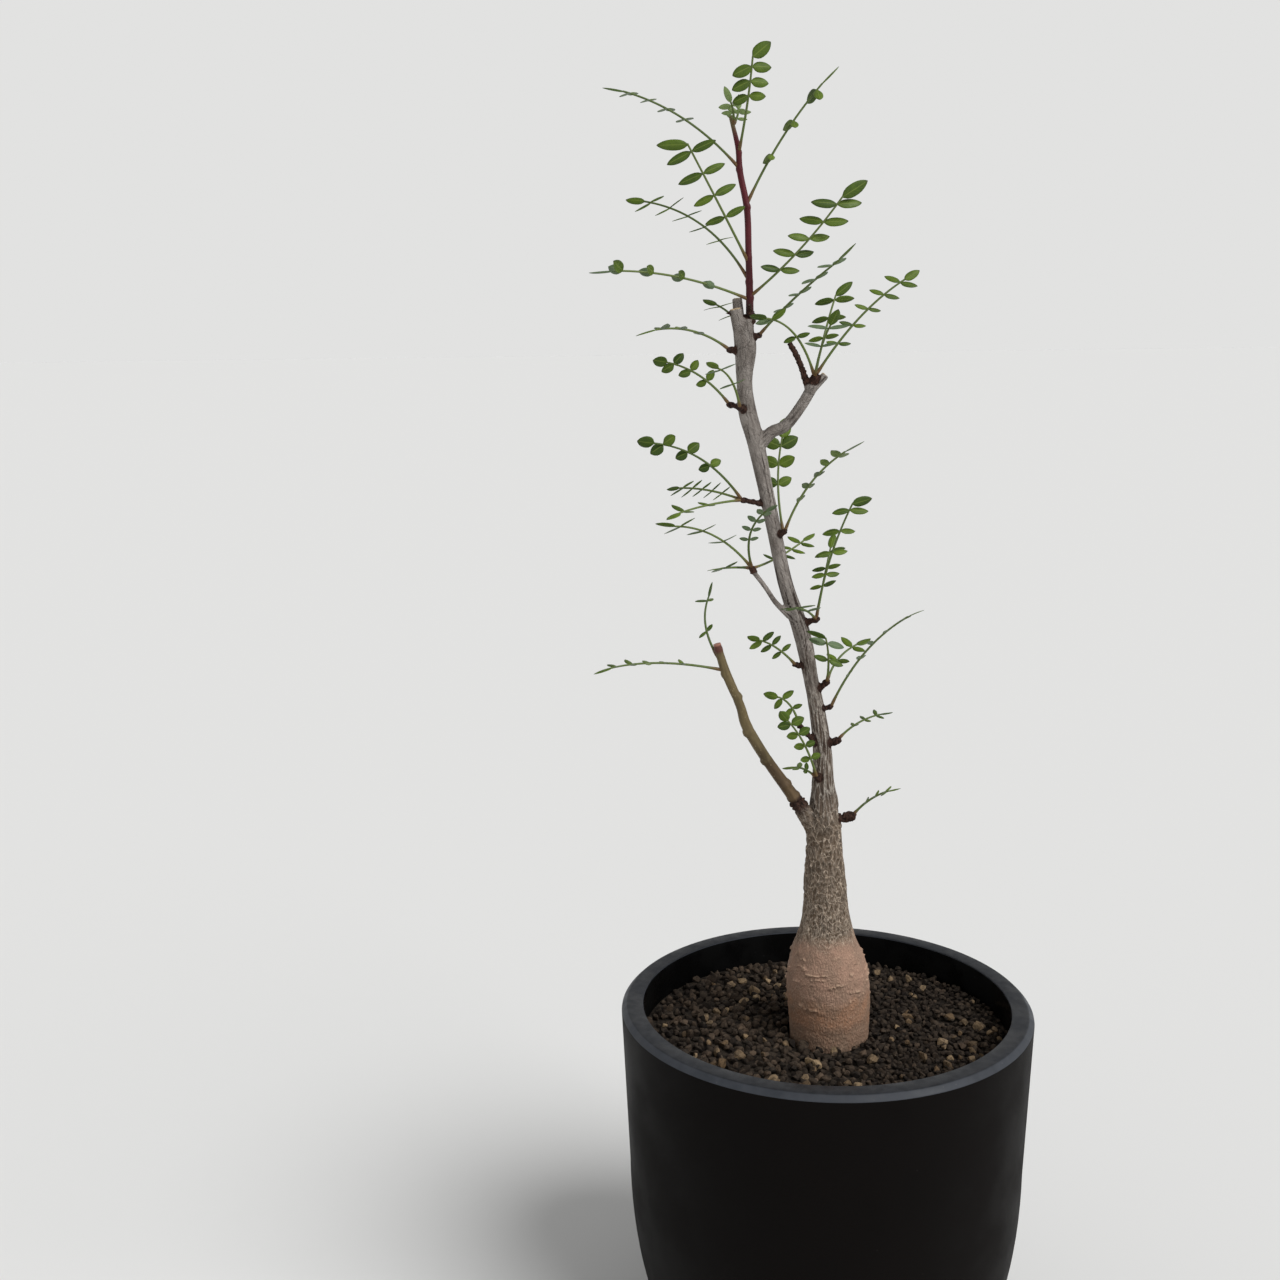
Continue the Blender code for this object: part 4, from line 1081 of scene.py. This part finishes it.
def young_bark_finish():
    """Return smooth olive-tan bark with fine long streaks and small pale pores."""
    material, tree, shader = new_material("young_bark", 0.5, specular=0.25)
    share, _, _ = piece_attribute(tree, "stem")
    limb = add_node(tree, "ShaderNodeAttribute", attribute_name="limb").outputs["Vector"]
    cloud = place_group(tree, MOTTLE, limb, Size=5.0, Stretch=3.0, Contrast=2.4)
    streaks = place_group(tree, MOTTLE, limb, Size=0.7, Stretch=8.0, Contrast=2.8)
    old = mix_colors(tree, cloud, seen(70, 55, 38), seen(108, 88, 62))
    young = mix_colors(tree, cloud, seen(82, 70, 45), seen(120, 106, 74))
    base = mix_colors(tree, fade_range(tree, share, 0.26, 0.3), old, young)
    streaked = mix_colors(tree, combine(tree, "MULTIPLY", streaks, 0.5), base, seen(56, 43, 28))
    pores = place_group(tree, SPECKLE, limb, Spacing=1.6, Share=0.16)
    pored = mix_colors(tree, combine(tree, "MULTIPLY", pores, 0.45), streaked, seen(170, 154, 120))
    ringed = mix_colors(tree, fade_range(tree, share, 0.94, 0.965), pored, seen(84, 50, 40))
    tip = mix_colors(tree, fade_range(tree, share, 0.985, 0.995), ringed, seen(150, 106, 90))
    scarred = mix_colors(tree, fade_range(tree, share, 0.03, 0.0), tip, seen(48, 32, 24))
    feed(tree, shader.inputs["Base Color"], scarred)
    feed(tree, shader.inputs["Roughness"], fade_range(tree, cloud, 0.2, 0.8, 0.46, 0.64))
    feed(tree, shader.inputs["Normal"], bump(tree, streaks, 0.15, 0.6))
    return material


def red_bark_finish():
    """Return the maroon shoot, darker at its foot and greener at its growing tip."""
    material, tree, shader = new_material("red_bark", 0.42, specular=0.25)
    share, _, _ = piece_attribute(tree, "stem")
    limb = add_node(tree, "ShaderNodeAttribute", attribute_name="limb").outputs["Vector"]
    cloud = place_group(tree, MOTTLE, limb, Size=3.0, Stretch=4.0, Contrast=2.4)
    base = mix_colors(tree, cloud, seen(56, 12, 18), seen(90, 26, 34))
    foot = mix_colors(tree, fade_range(tree, share, 0.0, 0.14), seen(40, 16, 15), base)
    pores = place_group(tree, SPECKLE, limb, Spacing=1.5, Share=0.1)
    pored = mix_colors(tree, combine(tree, "MULTIPLY", pores, 0.3), foot, seen(150, 90, 86))
    feed(tree, shader.inputs["Base Color"],
         mix_colors(tree, fade_range(tree, share, 0.88, 1.0), pored, seen(104, 100, 64)))
    feed(tree, shader.inputs["Roughness"], fade_range(tree, cloud, 0.2, 0.8, 0.38, 0.52))
    feed(tree, shader.inputs["Normal"], bump(tree, cloud, 0.06, 0.4))
    return material


young_bark, red_bark = young_bark_finish(), red_bark_finish()
branch_knots = [(0.02, 0.16, 0), (0.11, 0.12, 0.3), (0.29, 0.16, -0.3), (0.48, 0.16, -0.4),
                (0.69, 0.14, 0.35), (0.83, 0.12, -0.2), (0.97, 0.12, 0)]
shoot_knots = [(0.1, 0.14, 0.1), (0.18, 0.16, -0.1), (0.3, 0.16, -0.1), (0.55, 0.18, 0.15),
               (0.74, 0.18, -0.1), (0.82, 0.14, 0.1)]
side_branch = stem_piece("side_branch_bark", SIDE_BRANCH, 24, branch_knots,
                         "side_branch", young_bark)
red_shoot = stem_piece("red_shoot_bark", RED_SHOOT, 20, shoot_knots, "red_shoot", red_bark)
print("stem triangles:", count_triangles(side_branch), count_triangles(red_shoot))

# %% [markdown]
# ## The leaves
# Each leaf is a thin stalk with pairs of small oval leaflets and one at its end. The table gives where each
# leaf grows from, where its stalk runs, and how its leaflets face. The leaflets' small differences in turn,
# lift and size are drawn at random, from a seed that is the leaf's own name. The plain solids use the same
# table and the same draws, so each fine leaflet lies along its plain one.

# %% The table of leaves
# A leaf: where it grows from, the offsets of its middle and its tip from there, its pairs of leaflets and
# the share of the stalk where the first pair stands, a leaflet's length and width, and its roll from lying
# flat to facing the viewer. Where the leaflets don't stand square to the stalk, aims gives the directions
# of the right and left ones as seen from the front, in degrees up from +X, and how far the right ones point
# back and the left ones forward. Where the end leaflet isn't straight on, end gives its direction.
FIELDS = "name anchor via tip pairs first length width roll aims end"
Leaf = namedtuple("Leaf", FIELDS, defaults=(None, None))
LEAVES = [
    Leaf("shoot_leaf_1", ("red_shoot", 444), (-0.5, -3, 6), (-4, -2, 12), 2, 0.4, 4.6, 1.9, 70),
    Leaf("shoot_leaf_9", ("red_shoot", 444), (2, 2.5, 5), (1, 3, 11), 2, 0.3, 4.4, 1.8, 50),
    Leaf("shoot_leaf_2", ("red_shoot", 435), (2.6, -8, 16.5), (4.2, -11, 33.3),
         3, 0.56, 6.2, 3.7, 75, (-5, 205, 0), 38),
    Leaf("shoot_leaf_3", ("red_shoot", 418), (14, 4, 24.5), (31, 8, 45),
         3, 0.34, 7.0, 3.2, 75, (240, 225, -0.8)),
    Leaf("shoot_leaf_4", ("red_shoot", 430), (-21, -4, 17), (-45, -10, 25),
         4, 0.48, 6.0, 2.6, -30, (8, 187, 1.4)),
    Leaf("shoot_leaf_5", ("red_shoot", 399.5), (-11.5, -8.5, 20.5), (-23, -17, 40.5),
         4, 0.35, 8.4, 2.9, 82, (26, 203, 0), 185),
    Leaf("shoot_leaf_6", ("red_shoot", 393), (-17.5, 8, 20.5), (-42, 15, 28.5),
         5, 0.3, 5.8, 2.6, 5, (7, 190, 0)),
    Leaf("shoot_leaf_7", ("red_shoot", 387), (-27, -8, 8), (-53.5, -17, 9),
         4, 0.23, 7.4, 3.4, 80, (162, 158, 0.9)),
    Leaf("shoot_leaf_8", ("red_shoot", 388), (18.5, -7, 17.5), (34.5, -12, 38.5),
         5, 0.27, 8.2, 3.5, 60, (18, 190, 0), 30),
    Leaf("crown_leaf_1", "crown_back", (-5, 8, 6), (-13, 14, 10), 2, 0.4, 5.5, 2.2, 0, (6, 190, 0)),
    Leaf("crown_leaf_2", "crown_right", (14.5, -10, 15), (30, -22, 27.5),
         4, 0.3, 7.0, 2.8, 10, (22, 205, 1.0)),
    Leaf("crown_leaf_3", "crown_left", (-15.5, -3, 7), (-32.5, -8, 5), 3, 0.39, 6.2, 2.9, 0),
    Leaf("crown_leaf_4", "crown_low", (-12, 4, 11), (-26.5, 10, 15), 3, 0.36, 4.8, 3.2, 65, (55, 200, 0)),
    Leaf("crown_leaf_5", "crown_front", (-4.5, -9, 11), (-12, -18, 14), 2, 0.4, 5.2, 2.2, 10, (22, 197, 0)),
    Leaf("fork_leaf_1", "fork_bud", (-9.5, -9, 16), (-23, -17, 19), 2, 0.44, 5.4, 2.8, 45, (10, 195, 0)),
    Leaf("fork_leaf_2", "fork_bud", (1, -16, 12), (4, -26, 20), 2, 0.5, 6.2, 2.8, 25, (8, 172, 0)),
    Leaf("fork_leaf_3", "fork_bud", (5.5, 12, 17.5), (10.5, 18, 31.5),
         3, 0.4, 6.2, 2.5, -60, (4, 203, 0), 40),
    Leaf("fork_leaf_4", "fork_bud", (16.5, 1, 21), (35, 4, 34.5), 5, 0.24, 5.2, 2.4, 45, (8, 183, 0)),
    Leaf("spur_leaf_1", "left_spur", (-16, -3, 15.5), (-36, -9, 20.5), 3, 0.39, 5.0, 3.9, 65, (22, 197, 0)),
    Leaf("spur_leaf_2", "left_spur", (-13, 8, 3), (-25.5, 16, 2.5), 5, 0.26, 4.6, 1.8, 5, (32, 203, 0)),
    Leaf("spur_leaf_3", "left_spur", (-14, -10, -1), (-26, -21, -3.5), 2, 0.48, 5.4, 2.6, 10),
    Leaf("twig_leaf_1", "twig_tip", (-15.5, -4, 13), (-33.5, -11, 15.5), 3, 0.37, 6.0, 2.5, 5, (8, 190, 0)),
    Leaf("twig_leaf_2", "twig_tip", (-1, -11, 14.5), (7, -16, 23.5), 4, 0.4, 3.8, 2.1, -30),
    Leaf("twig_leaf_3", "twig_tip", (12, 15, 2.5), (24.5, 27, 9), 4, 0.4, 5.4, 2.2, 15),
    Leaf("twig_leaf_4", "twig_tip", (-7, 9, -1), (-13, 20, -3.5), 2, 0.36, 5.6, 2.4, 0),
    Leaf("right_leaf_1", "right_back", (-1, 9, 20), (2.5, 14, 38), 3, 0.45, 6.2, 4.2, 80, (28, 158, 0)),
    Leaf("right_leaf_2", "right_spur", (10, -5, 19), (25, -12, 31), 5, 0.3, 6.4, 2.6, 0),
    Leaf("mid_leaf_1", "mid_right", (4.5, -5, 23.5), (12.8, -9, 45), 4, 0.35, 5.8, 2.8, 45, (6, 193, 0), 14),
    Leaf("mid_leaf_2", "mid_right", (4.2, 9, 15.5), (8, 18, 27.5), 3, 0.38, 5.6, 2.4, -60, (14, 203, 0)),
    Leaf("mid_leaf_3", "mid_right", (-6, -10, 5.5), (-12.5, -20, 7), 2, 0.4, 6.0, 2.6, -10),
    Leaf("low_leaf_1", "low_right", (-0.5, -7, 11), (-3, -15, 20.5),
         2, 0.42, 6.0, 3.2, 40, (-20, 165, 0), 170),
    Leaf("low_leaf_2", "low_right", (6.5, 6, 9), (18, 12, 13), 2, 0.42, 5.4, 2.5, 20),
    Leaf("low_leaf_3", "low_right_bud", (12.5, -6, 22.5), (29, -14, 37), 5, 0.26, 5.4, 2.0, 0),
    Leaf("low_leaf_4", "left_bud", (-9, -6, 8.5), (-17.5, -14, 12), 3, 0.33, 5.0, 2.1, 60, (41, 209, 0)),
    Leaf("low_leaf_5", "low_left", (-6, -8, 15.5), (-14.5, -16, 27.5), 4, 0.25, 4.4, 3.0, 75, (30, 190, 0)),
    Leaf("low_leaf_6", "low_twig", (-5, 3, 8.5), (-13, 5, 8.5), 2, 0.36, 4.6, 2.3, 55, (20, 235, 0)),
    Leaf("low_leaf_7", "low_left", (-6.5, 1, 3.5), (-11.5, 5, 0.5), 2, 0.36, 4.4, 2.0, 10),
    Leaf("low_leaf_8", "low_round", (9.5, 3, 6.5), (21, 6, 8.5), 3, 0.36, 4.4, 1.5, 0),
    Leaf("foot_leaf", "foot_right", (7.5, -3, 8), (16, -8, 12.5), 3, 0.36, 4.2, 1.6, 0),
    Leaf("branch_leaf_1", ("side_branch", 261.5), (-24.5, -5, 4), (-44.5, -12, 2.5), 5, 0.3, 5.6, 2.2, 0),
    Leaf("branch_leaf_2", ("side_branch", 263.5), (-6, 6, 14.5), (-1.5, 14, 27),
         2, 0.36, 5.2, 1.9, 20, (60, 225, 1.0)),
]
Course = namedtuple("Course", "origin control tip start end")

print("leaves in the table:", len(LEAVES))

# %% [markdown]
# ## Where a leaf and its leaflets lie
# A stalk follows a gentle curve from its bud to its tip. Pairs of leaflets stand along it from about a third
# of its length. Each leaflet gets a direction, a direction across it, and an upper side.

# %% Leaf geometry
SIDE_GAP = 0.7
RACHIS_BASE = 0.45
RACHIS_END = 0.32
LEAFLET_DROOP = 0.08
PAIR_ANGLE = 82.0
PAIR_TURN = 7.0
PAIR_LIFT = 12.0
LIFT_TURN = 12.0
END_GAP = 0.85
LEAST_SPREAD = 47.0
MOST_SPREAD = 117.0
END_LEAFLET = 1.2
END_TURN = 62.0
LEAST_GROWN = 0.68


def distance_to(limb, point):
    """Return how far a point lies from a limb's skin."""
    return min((point - place.to_3d()).length - place.w for place in smooth_route(LIMBS[limb], 1.0))


def leaf_place(course, share):
    """Return the point at a share of a rachis."""
    t = course.start + (course.end - course.start) * share
    return course.origin + 2 * t * (1 - t) * course.control + t * t * course.tip


def leaf_heading(course, share):
    """Return the way that a rachis runs at a share of it."""
    t = course.start + (course.end - course.start) * share
    return ((1 - 2 * t) * course.control + t * course.tip).normalized()


def leaf_course(leaf):
    """Return a rachis's course, from clear of what it grows on to the root of its end leaflet."""
    on_spur = isinstance(leaf.anchor, str)
    origin, bud = spur_tip(leaf.anchor) if on_spur else place_on(*leaf.anchor)
    via, tip = Vector(leaf.via), Vector(leaf.tip)
    whole = Course(origin, 2 * via - tip / 2, tip, 0.0, 1.0)
    start = 0.0
    while (leaf_place(whole, start) - origin).length < bud + GAP:
        start += 0.002
    while not on_spur and distance_to(leaf.anchor[0], leaf_place(whole, start)) < SIDE_GAP:
        start += 0.002
    forward = leaf_heading(whole, 1.0)
    reach = leaf.length * END_LEAFLET * end_heading(leaf, forward).dot(forward)
    return whole._replace(start=start, end=1.0 - reach / tip.length)


def blade_normal(direction, roll):
    """Return a blade's upper side: up when the roll is 0, towards the viewer at 90."""
    up = Vector((0, 0, 1))
    viewer = Vector((0, -1, 0))
    aim = up * math.cos(math.radians(roll)) + viewer * math.sin(math.radians(roll))
    aim -= direction * aim.dot(direction)
    if aim.length < 0.2:
        aim = viewer - direction * viewer.dot(direction)
    return aim.normalized()


def leaflet_aim(leaf, hand, turn=0.0, lift=0.0):
    """Return where the right or left leaflets of a leaf with given aims point."""
    right, left, depth = leaf.aims
    slope = math.radians((right if hand > 0 else left) + turn)
    away = depth * hand + math.sin(math.radians(lift))
    return Vector((math.cos(slope), away, math.sin(slope))).normalized()


def rachis_frame(leaf, forward):
    """Return a rachis's right-hand side and its upper side."""
    if leaf.aims:
        side = leaflet_aim(leaf, 1) - leaflet_aim(leaf, -1)
    else:
        side = forward.cross(blade_normal(forward, leaf.roll))
    side = (side - forward * side.dot(forward)).normalized()
    return side, side.cross(forward)


def pair_shares(leaf):
    """Return where along the leaf its pairs of leaflets stand."""
    last = 1.0 - END_GAP * leaf.width / (Vector(leaf.tip).length - leaf.length)
    return [leaf.first + (last - leaf.first) * pair / (leaf.pairs - 1) for pair in range(leaf.pairs)]


def spread_from(forward, along):
    """Return a leaflet's direction, turned away from its rachis where it lies too close to it."""
    wanted = min(max(forward.angle(along), math.radians(LEAST_SPREAD)), math.radians(MOST_SPREAD))
    outward = (along - forward * along.dot(forward)).normalized()
    return forward * math.cos(wanted) + outward * math.sin(wanted)


def leaflet_pose(leaf, share, hand, forward, draw):
    """Return a leaflet's direction, width direction, upper side and size, with its share of chance."""
    side, upper = rachis_frame(leaf, forward)
    turn = draw.uniform(-PAIR_TURN, PAIR_TURN)
    lift = draw.uniform(-LIFT_TURN, LIFT_TURN)
    size = (LEAST_GROWN + (1.08 - LEAST_GROWN) * share) * draw.uniform(0.93, 1.05)
    if leaf.aims:
        along = spread_from(forward, leaflet_aim(leaf, hand, turn, lift))
        upper = blade_normal(along, leaf.roll)
    else:
        angle = math.radians(PAIR_ANGLE + turn)
        rise = math.radians(PAIR_LIFT + lift)
        outward = side * hand * math.cos(rise) + upper * math.sin(rise)
        along = (forward * math.cos(angle) + outward * math.sin(angle)).normalized()
        upper = (upper - along * upper.dot(along)).normalized()
    across = upper.cross(along)
    facing = 1 if across.dot(forward) * hand > 0 else -1
    return along, across * facing, upper * facing, size


def end_heading(leaf, forward):
    """Return the end leaflet's direction: straight on, or turned as far as it may towards its own."""
    if leaf.end is None:
        return forward
    slope = math.radians(leaf.end)
    aim = Vector((math.cos(slope), 0, math.sin(slope)))
    turn = min(forward.angle(aim), math.radians(END_TURN))
    return Quaternion(forward.cross(aim).normalized(), turn) @ forward


def end_pose(leaf, forward):
    """Return the end leaflet's direction, width direction and upper side."""
    side, _ = rachis_frame(leaf, forward)
    along = end_heading(leaf, forward)
    side = (side - along * side.dot(along)).normalized()
    return along, side, side.cross(along)


print("first leaf runs to", [round(v) for v in leaf_course(LEAVES[0]).tip], "mm from its bud")

# %% [markdown]
# A leaflet's blade is a grid of points between two edges, folded slightly along its midrib and drooping
# towards its pointed tip, with a second grid close below it for the underside. A plain flat outline would
# look like paper: the fold and the droop are what catch the light. Two leaves hang turned over, so that
# their upper sides show below, and the two at the shoot's tip are still unfolding and pale.

# %% Grow the blades and stalks
STATIONS = ((0.0, 0.13), (0.05, 0.36), (0.13, 0.68), (0.25, 0.92), (0.39, 1.0), (0.54, 0.99), (0.68, 0.89),
            (0.8, 0.7), (0.89, 0.48), (0.95, 0.28), (1.0, 0.06))
ACROSS = (-1.0, -0.7, -0.35, 0.0, 0.35, 0.7, 1.0)
BLADE_THICKNESS = 0.34
STALK_SIDES = 8
TURNED_OVER = ("shoot_leaf_7", "right_leaf_2")
UNFOLDING = ("shoot_leaf_1", "shoot_leaf_9")


class LeafMesh:
    """The points, faces and kept numbers of one leaf while it grows."""

    def __init__(self):
        self.points, self.faces, self.blade, self.growth = [], [], [], []

    def add(self, point, blade, growth):
        """Add a point with its numbers and return its index."""
        self.points.append(point)
        self.blade.append(blade)
        self.growth.append(growth)
        return len(self.points) - 1

    def to_mesh(self, name):
        """Return the finished mesh."""
        mesh = bpy.data.meshes.new(name)
        mesh.from_pydata(self.points, [], self.faces)
        keep_numbers(mesh, "blade", self.blade)
        keep_numbers(mesh, "growth", self.growth)
        shape = bmesh.new()
        shape.from_mesh(mesh)
        bmesh.ops.recalc_face_normals(shape, faces=shape.faces)
        shape.to_mesh(mesh)
        shape.free()
        return mesh


def blade_place(pose, share, side, bend, fold):
    """Return the middle of a blade's thickness at a share of its length and width."""
    root, along, across, upper, length, width = pose
    half = width / 2 * side[1]
    droop = -LEAFLET_DROOP * length * share * share * bend
    cup = -fold * half * side[0] * side[0]
    return root + along * length * share + across * half * side[0] + upper * (droop + cup)


def grow_blade(leaf_mesh, pose, tone, turned, young):
    """Grow one leaflet: an upper and an under grid that meet at the edges."""
    draw = random.Random(f"{tone:.5f}")
    bend, fold = draw.uniform(0.7, 1.9), draw.uniform(0.08, 0.3)
    grids = []
    for under in (0.0, 1.0):
        rows = []
        for share, girth in STATIONS:
            row = []
            for side in ACROSS:
                middle = blade_place(pose, share, (side, girth), bend, fold)
                depth = BLADE_THICKNESS / 2 * (1 - 0.85 * side ** 4) * (1 - 0.6 * share)
                rib = 0.1 * max(0.0, 1 - abs(side) / 0.3) * (1 - share)
                offset = (depth - rib) if under < 0.5 else -(depth + rib)
                numbers = (share, side, 1 - under if turned else under)
                row.append(leaf_mesh.add(middle + pose[3] * offset, numbers, (tone, 0.0, young)))
            rows.append(row)
        grids.append(rows)
    upper, lower = grids
    for k in range(len(STATIONS) - 1):
        for j in range(len(ACROSS) - 1):
            for grid in grids:
                leaf_mesh.faces.append([grid[k][j], grid[k][j + 1], grid[k + 1][j + 1], grid[k + 1][j]])
        for j in (0, -1):
            leaf_mesh.faces.append([upper[k][j], upper[k + 1][j], lower[k + 1][j], lower[k][j]])
    for k in (0, -1):
        for j in range(len(ACROSS) - 1):
            leaf_mesh.faces.append([upper[k][j], upper[k][j + 1], lower[k][j + 1], lower[k][j]])


def grow_stalk(leaf_mesh, leaf, course, tone):
    """Grow a leaf's stalk, thicker and redder at its foot."""
    foot = -0.6 * course.start / (course.end - course.start)
    rings = []
    for k in range(25):
        share = foot + (1.01 - foot) * k / 24
        side, upper = rachis_frame(leaf, leaf_heading(course, share))
        girth = RACHIS_BASE + (RACHIS_END - RACHIS_BASE) * share
        girth *= 1 + 0.35 * math.exp(-(max(share, 0) / 0.05) ** 2)
        flush = 1 - fade(share, 0.01, 0.1)
        ring = []
        for step in range(STALK_SIDES):
            angle = 2 * math.pi * step / STALK_SIDES
            offset = side * math.cos(angle) + upper * math.sin(angle)
            place = leaf_place(course, share) + offset * girth
            ring.append(leaf_mesh.add(place, (max(share, 0), 0.0, 0.0), (tone, 1.0, flush)))
        rings.append(ring)
    for lower, higher in zip(rings, rings[1:]):
        for k in range(STALK_SIDES):
            beside = (k + 1) % STALK_SIDES
            leaf_mesh.faces.append([lower[k], lower[beside], higher[beside], higher[k]])
    leaf_mesh.faces.append(rings[0])
    leaf_mesh.faces.append(rings[-1])


def grow_leaf(leaf, material):
    """Build one leaf from the same table line and draws as its plain solid."""
    course = leaf_course(leaf)
    draw = random.Random(leaf.name)
    tones = random.Random(leaf.name + " tones")
    turned, young = leaf.name in TURNED_OVER, float(leaf.name in UNFOLDING)
    leaf_mesh = LeafMesh()
    grow_stalk(leaf_mesh, leaf, course, tones.random())
    for share in pair_shares(leaf):
        forward = leaf_heading(course, share)
        side, _ = rachis_frame(leaf, forward)
        half = RACHIS_BASE + (RACHIS_END - RACHIS_BASE) * share
        for hand in (1, -1):
            along, across, upper, size = leaflet_pose(leaf, share, hand, forward, draw)
            root = leaf_place(course, share) + side * hand * half * 0.6
            pose = (root, along, across, upper, leaf.length * size, leaf.width * size)
            grow_blade(leaf_mesh, pose, tones.random(), turned, young)
    along, across, upper = end_pose(leaf, leaf_heading(course, 1.0))
    length, width = leaf.length * END_LEAFLET, leaf.width * END_LEAFLET
    pose = (leaf_place(course, 1.0), along, across, upper, length, width)
    grow_blade(leaf_mesh, pose, tones.random(), turned, young)
    mesh = leaf_mesh.to_mesh(leaf.name)
    return finish_piece(leaf.name + "_fine", mesh, [leaf.name], [material], sharp=75)


# %% [markdown]
# A leaflet is a fresh green above, with a paler midrib and side veins, and a dull grey-green below. The
# stalk is olive green and reddens at its foot. The numbers kept with each point say where on the blade it
# is, so the veins follow every leaflet however it is turned.

# %% The leaves' finish
def leaf_finish():
    """Return the material of blades and stalks."""
    material, tree, shader = new_material("leaf", 0.45, specular=0.25)
    along, across, under = piece_attribute(tree, "blade")
    tone, stalk, flush = piece_attribute(tree, "growth")
    from_rib = combine(tree, "ABSOLUTE", across)
    cloud = place_group(tree, MOTTLE, Size=3.0, Contrast=1.8)
    green = mix_colors(tree, tone, seen(48, 70, 16), seen(92, 114, 30))
    green = mix_colors(tree, fade_range(tree, cloud, 0.3, 0.8, 0.0, 0.35), green, seen(38, 56, 18))
    green = mix_colors(tree, flush, green, seen(122, 142, 88))
    slant = combine(tree, "SUBTRACT", along, combine(tree, "MULTIPLY", from_rib, 0.22))
    waves = combine(tree, "SINE", combine(tree, "MULTIPLY", slant, 44.0))
    side_veins = fade_range(tree, waves, 0.86, 1.0)
    rib = combine(tree, "SUBTRACT", 1.0, fade_range(tree, from_rib, 0.04, 0.12))
    veins = combine(tree, "MAXIMUM", rib, combine(tree, "MULTIPLY", side_veins, 0.3))
    upper = mix_colors(tree, combine(tree, "MULTIPLY", veins, 0.4), green, seen(128, 142, 66))
    tip = fade_range(tree, along, 0.88, 1.0)
    upper = mix_colors(tree, combine(tree, "MULTIPLY", tip, 0.7), upper, seen(44, 44, 24))
    lower = mix_colors(tree, cloud, seen(70, 90, 58), seen(98, 116, 82))
    lower = mix_colors(tree, flush, lower, seen(146, 160, 122))
    lower = mix_colors(tree, combine(tree, "MULTIPLY", veins, 0.4), lower, seen(138, 150, 112))
    blade = mix_colors(tree, under, upper, lower)
    stem = mix_colors(tree, tone, seen(74, 90, 44), seen(102, 116, 62))
    stem = mix_colors(tree, combine(tree, "MULTIPLY", flush, 0.6), stem, seen(104, 46, 40))
    feed(tree, shader.inputs["Base Color"], mix_colors(tree, stalk, blade, stem))
    feed(tree, shader.inputs["Roughness"], fade_range(tree, cloud, 0.2, 0.8, 0.4, 0.55))
    feed(tree, shader.inputs["Normal"], bump(tree, veins, 0.06, 0.6))
    return material


leaf_green = leaf_finish()
leaves = [grow_leaf(leaf, leaf_green) for leaf in LEAVES]
print("leaves:", len(leaves), "triangles:", sum(count_triangles(leaf) for leaf in leaves))

# %% [markdown]
# ## Floor and light
# The plant stands on a plain pale floor. One broad soft sun from the upper right shades every round shape
# from light to dark, as in the photograph. The sky is pale near the horizon and dimmer overhead, which keeps
# the shaded sides dark enough to show their form. The floor's own tone is chosen so that sun and sky together
# make it as bright as the horizon, and the two meet without a visible line.

# %% Floor and light
HORIZON = 0.76
OVERHEAD = 0.30
SUN_STRENGTH = 2.6
SUN_FROM = (0.75, -0.62, 1.0)
FLOOR_TONE = 0.763


def add_sun(direction, strength, softness):
    """Add a broad sun that shines from a direction."""
    data = bpy.data.lights.new("soft_sun", "SUN")
    data.energy = strength
    data.angle = math.radians(softness)
    sun = bpy.data.objects.new("soft_sun", data)
    bpy.context.scene.collection.objects.link(sun)
    sun.rotation_euler = Vector(direction).to_track_quat("Z", "Y").to_euler()
    return sun


def add_floor(tone):
    """Add the plain pale floor."""
    mesh = bpy.data.meshes.new("floor")
    reach = 40.0
    corners = [(-reach, -reach, 0), (reach, -reach, 0), (reach, reach, 0), (-reach, reach, 0)]
    mesh.from_pydata(corners, [], [(0, 1, 2, 3)])
    floor = bpy.data.objects.new("floor", mesh)
    bpy.context.scene.collection.objects.link(floor)
    material, _, shader = new_material("floor", 1.0, specular=0.0)
    shader.inputs["Base Color"].default_value = (tone, tone, tone * 0.99, 1.0)
    mesh.materials.append(material)
    return floor


def light_world(horizon, overhead):
    """Light the scene with a sky that dims from the horizon to overhead."""
    world = bpy.data.worlds.new("studio")
    bpy.context.scene.world = world
    world.use_nodes = True
    tree = world.node_tree
    toward = add_node(tree, "ShaderNodeTexCoord").outputs["Generated"]
    upward = add_node(tree, "ShaderNodeSeparateXYZ", {0: toward}).outputs[2]
    pale, dim = (horizon, horizon, horizon * 0.99, 1.0), (overhead, overhead, overhead, 1.0)
    sky = mix_colors(tree, fade_range(tree, upward, 0.3, 0.65), pale, dim)
    feed(tree, tree.nodes["Background"].inputs["Color"], sky)


floor = add_floor(FLOOR_TONE)
sun = add_sun(SUN_FROM, SUN_STRENGTH, 40.0)
light_world(HORIZON, OVERHEAD)
bpy.context.scene.view_settings.view_transform = "Standard"
print("floor tone", round(FLOOR_TONE, 3), "and sun", sun.name)
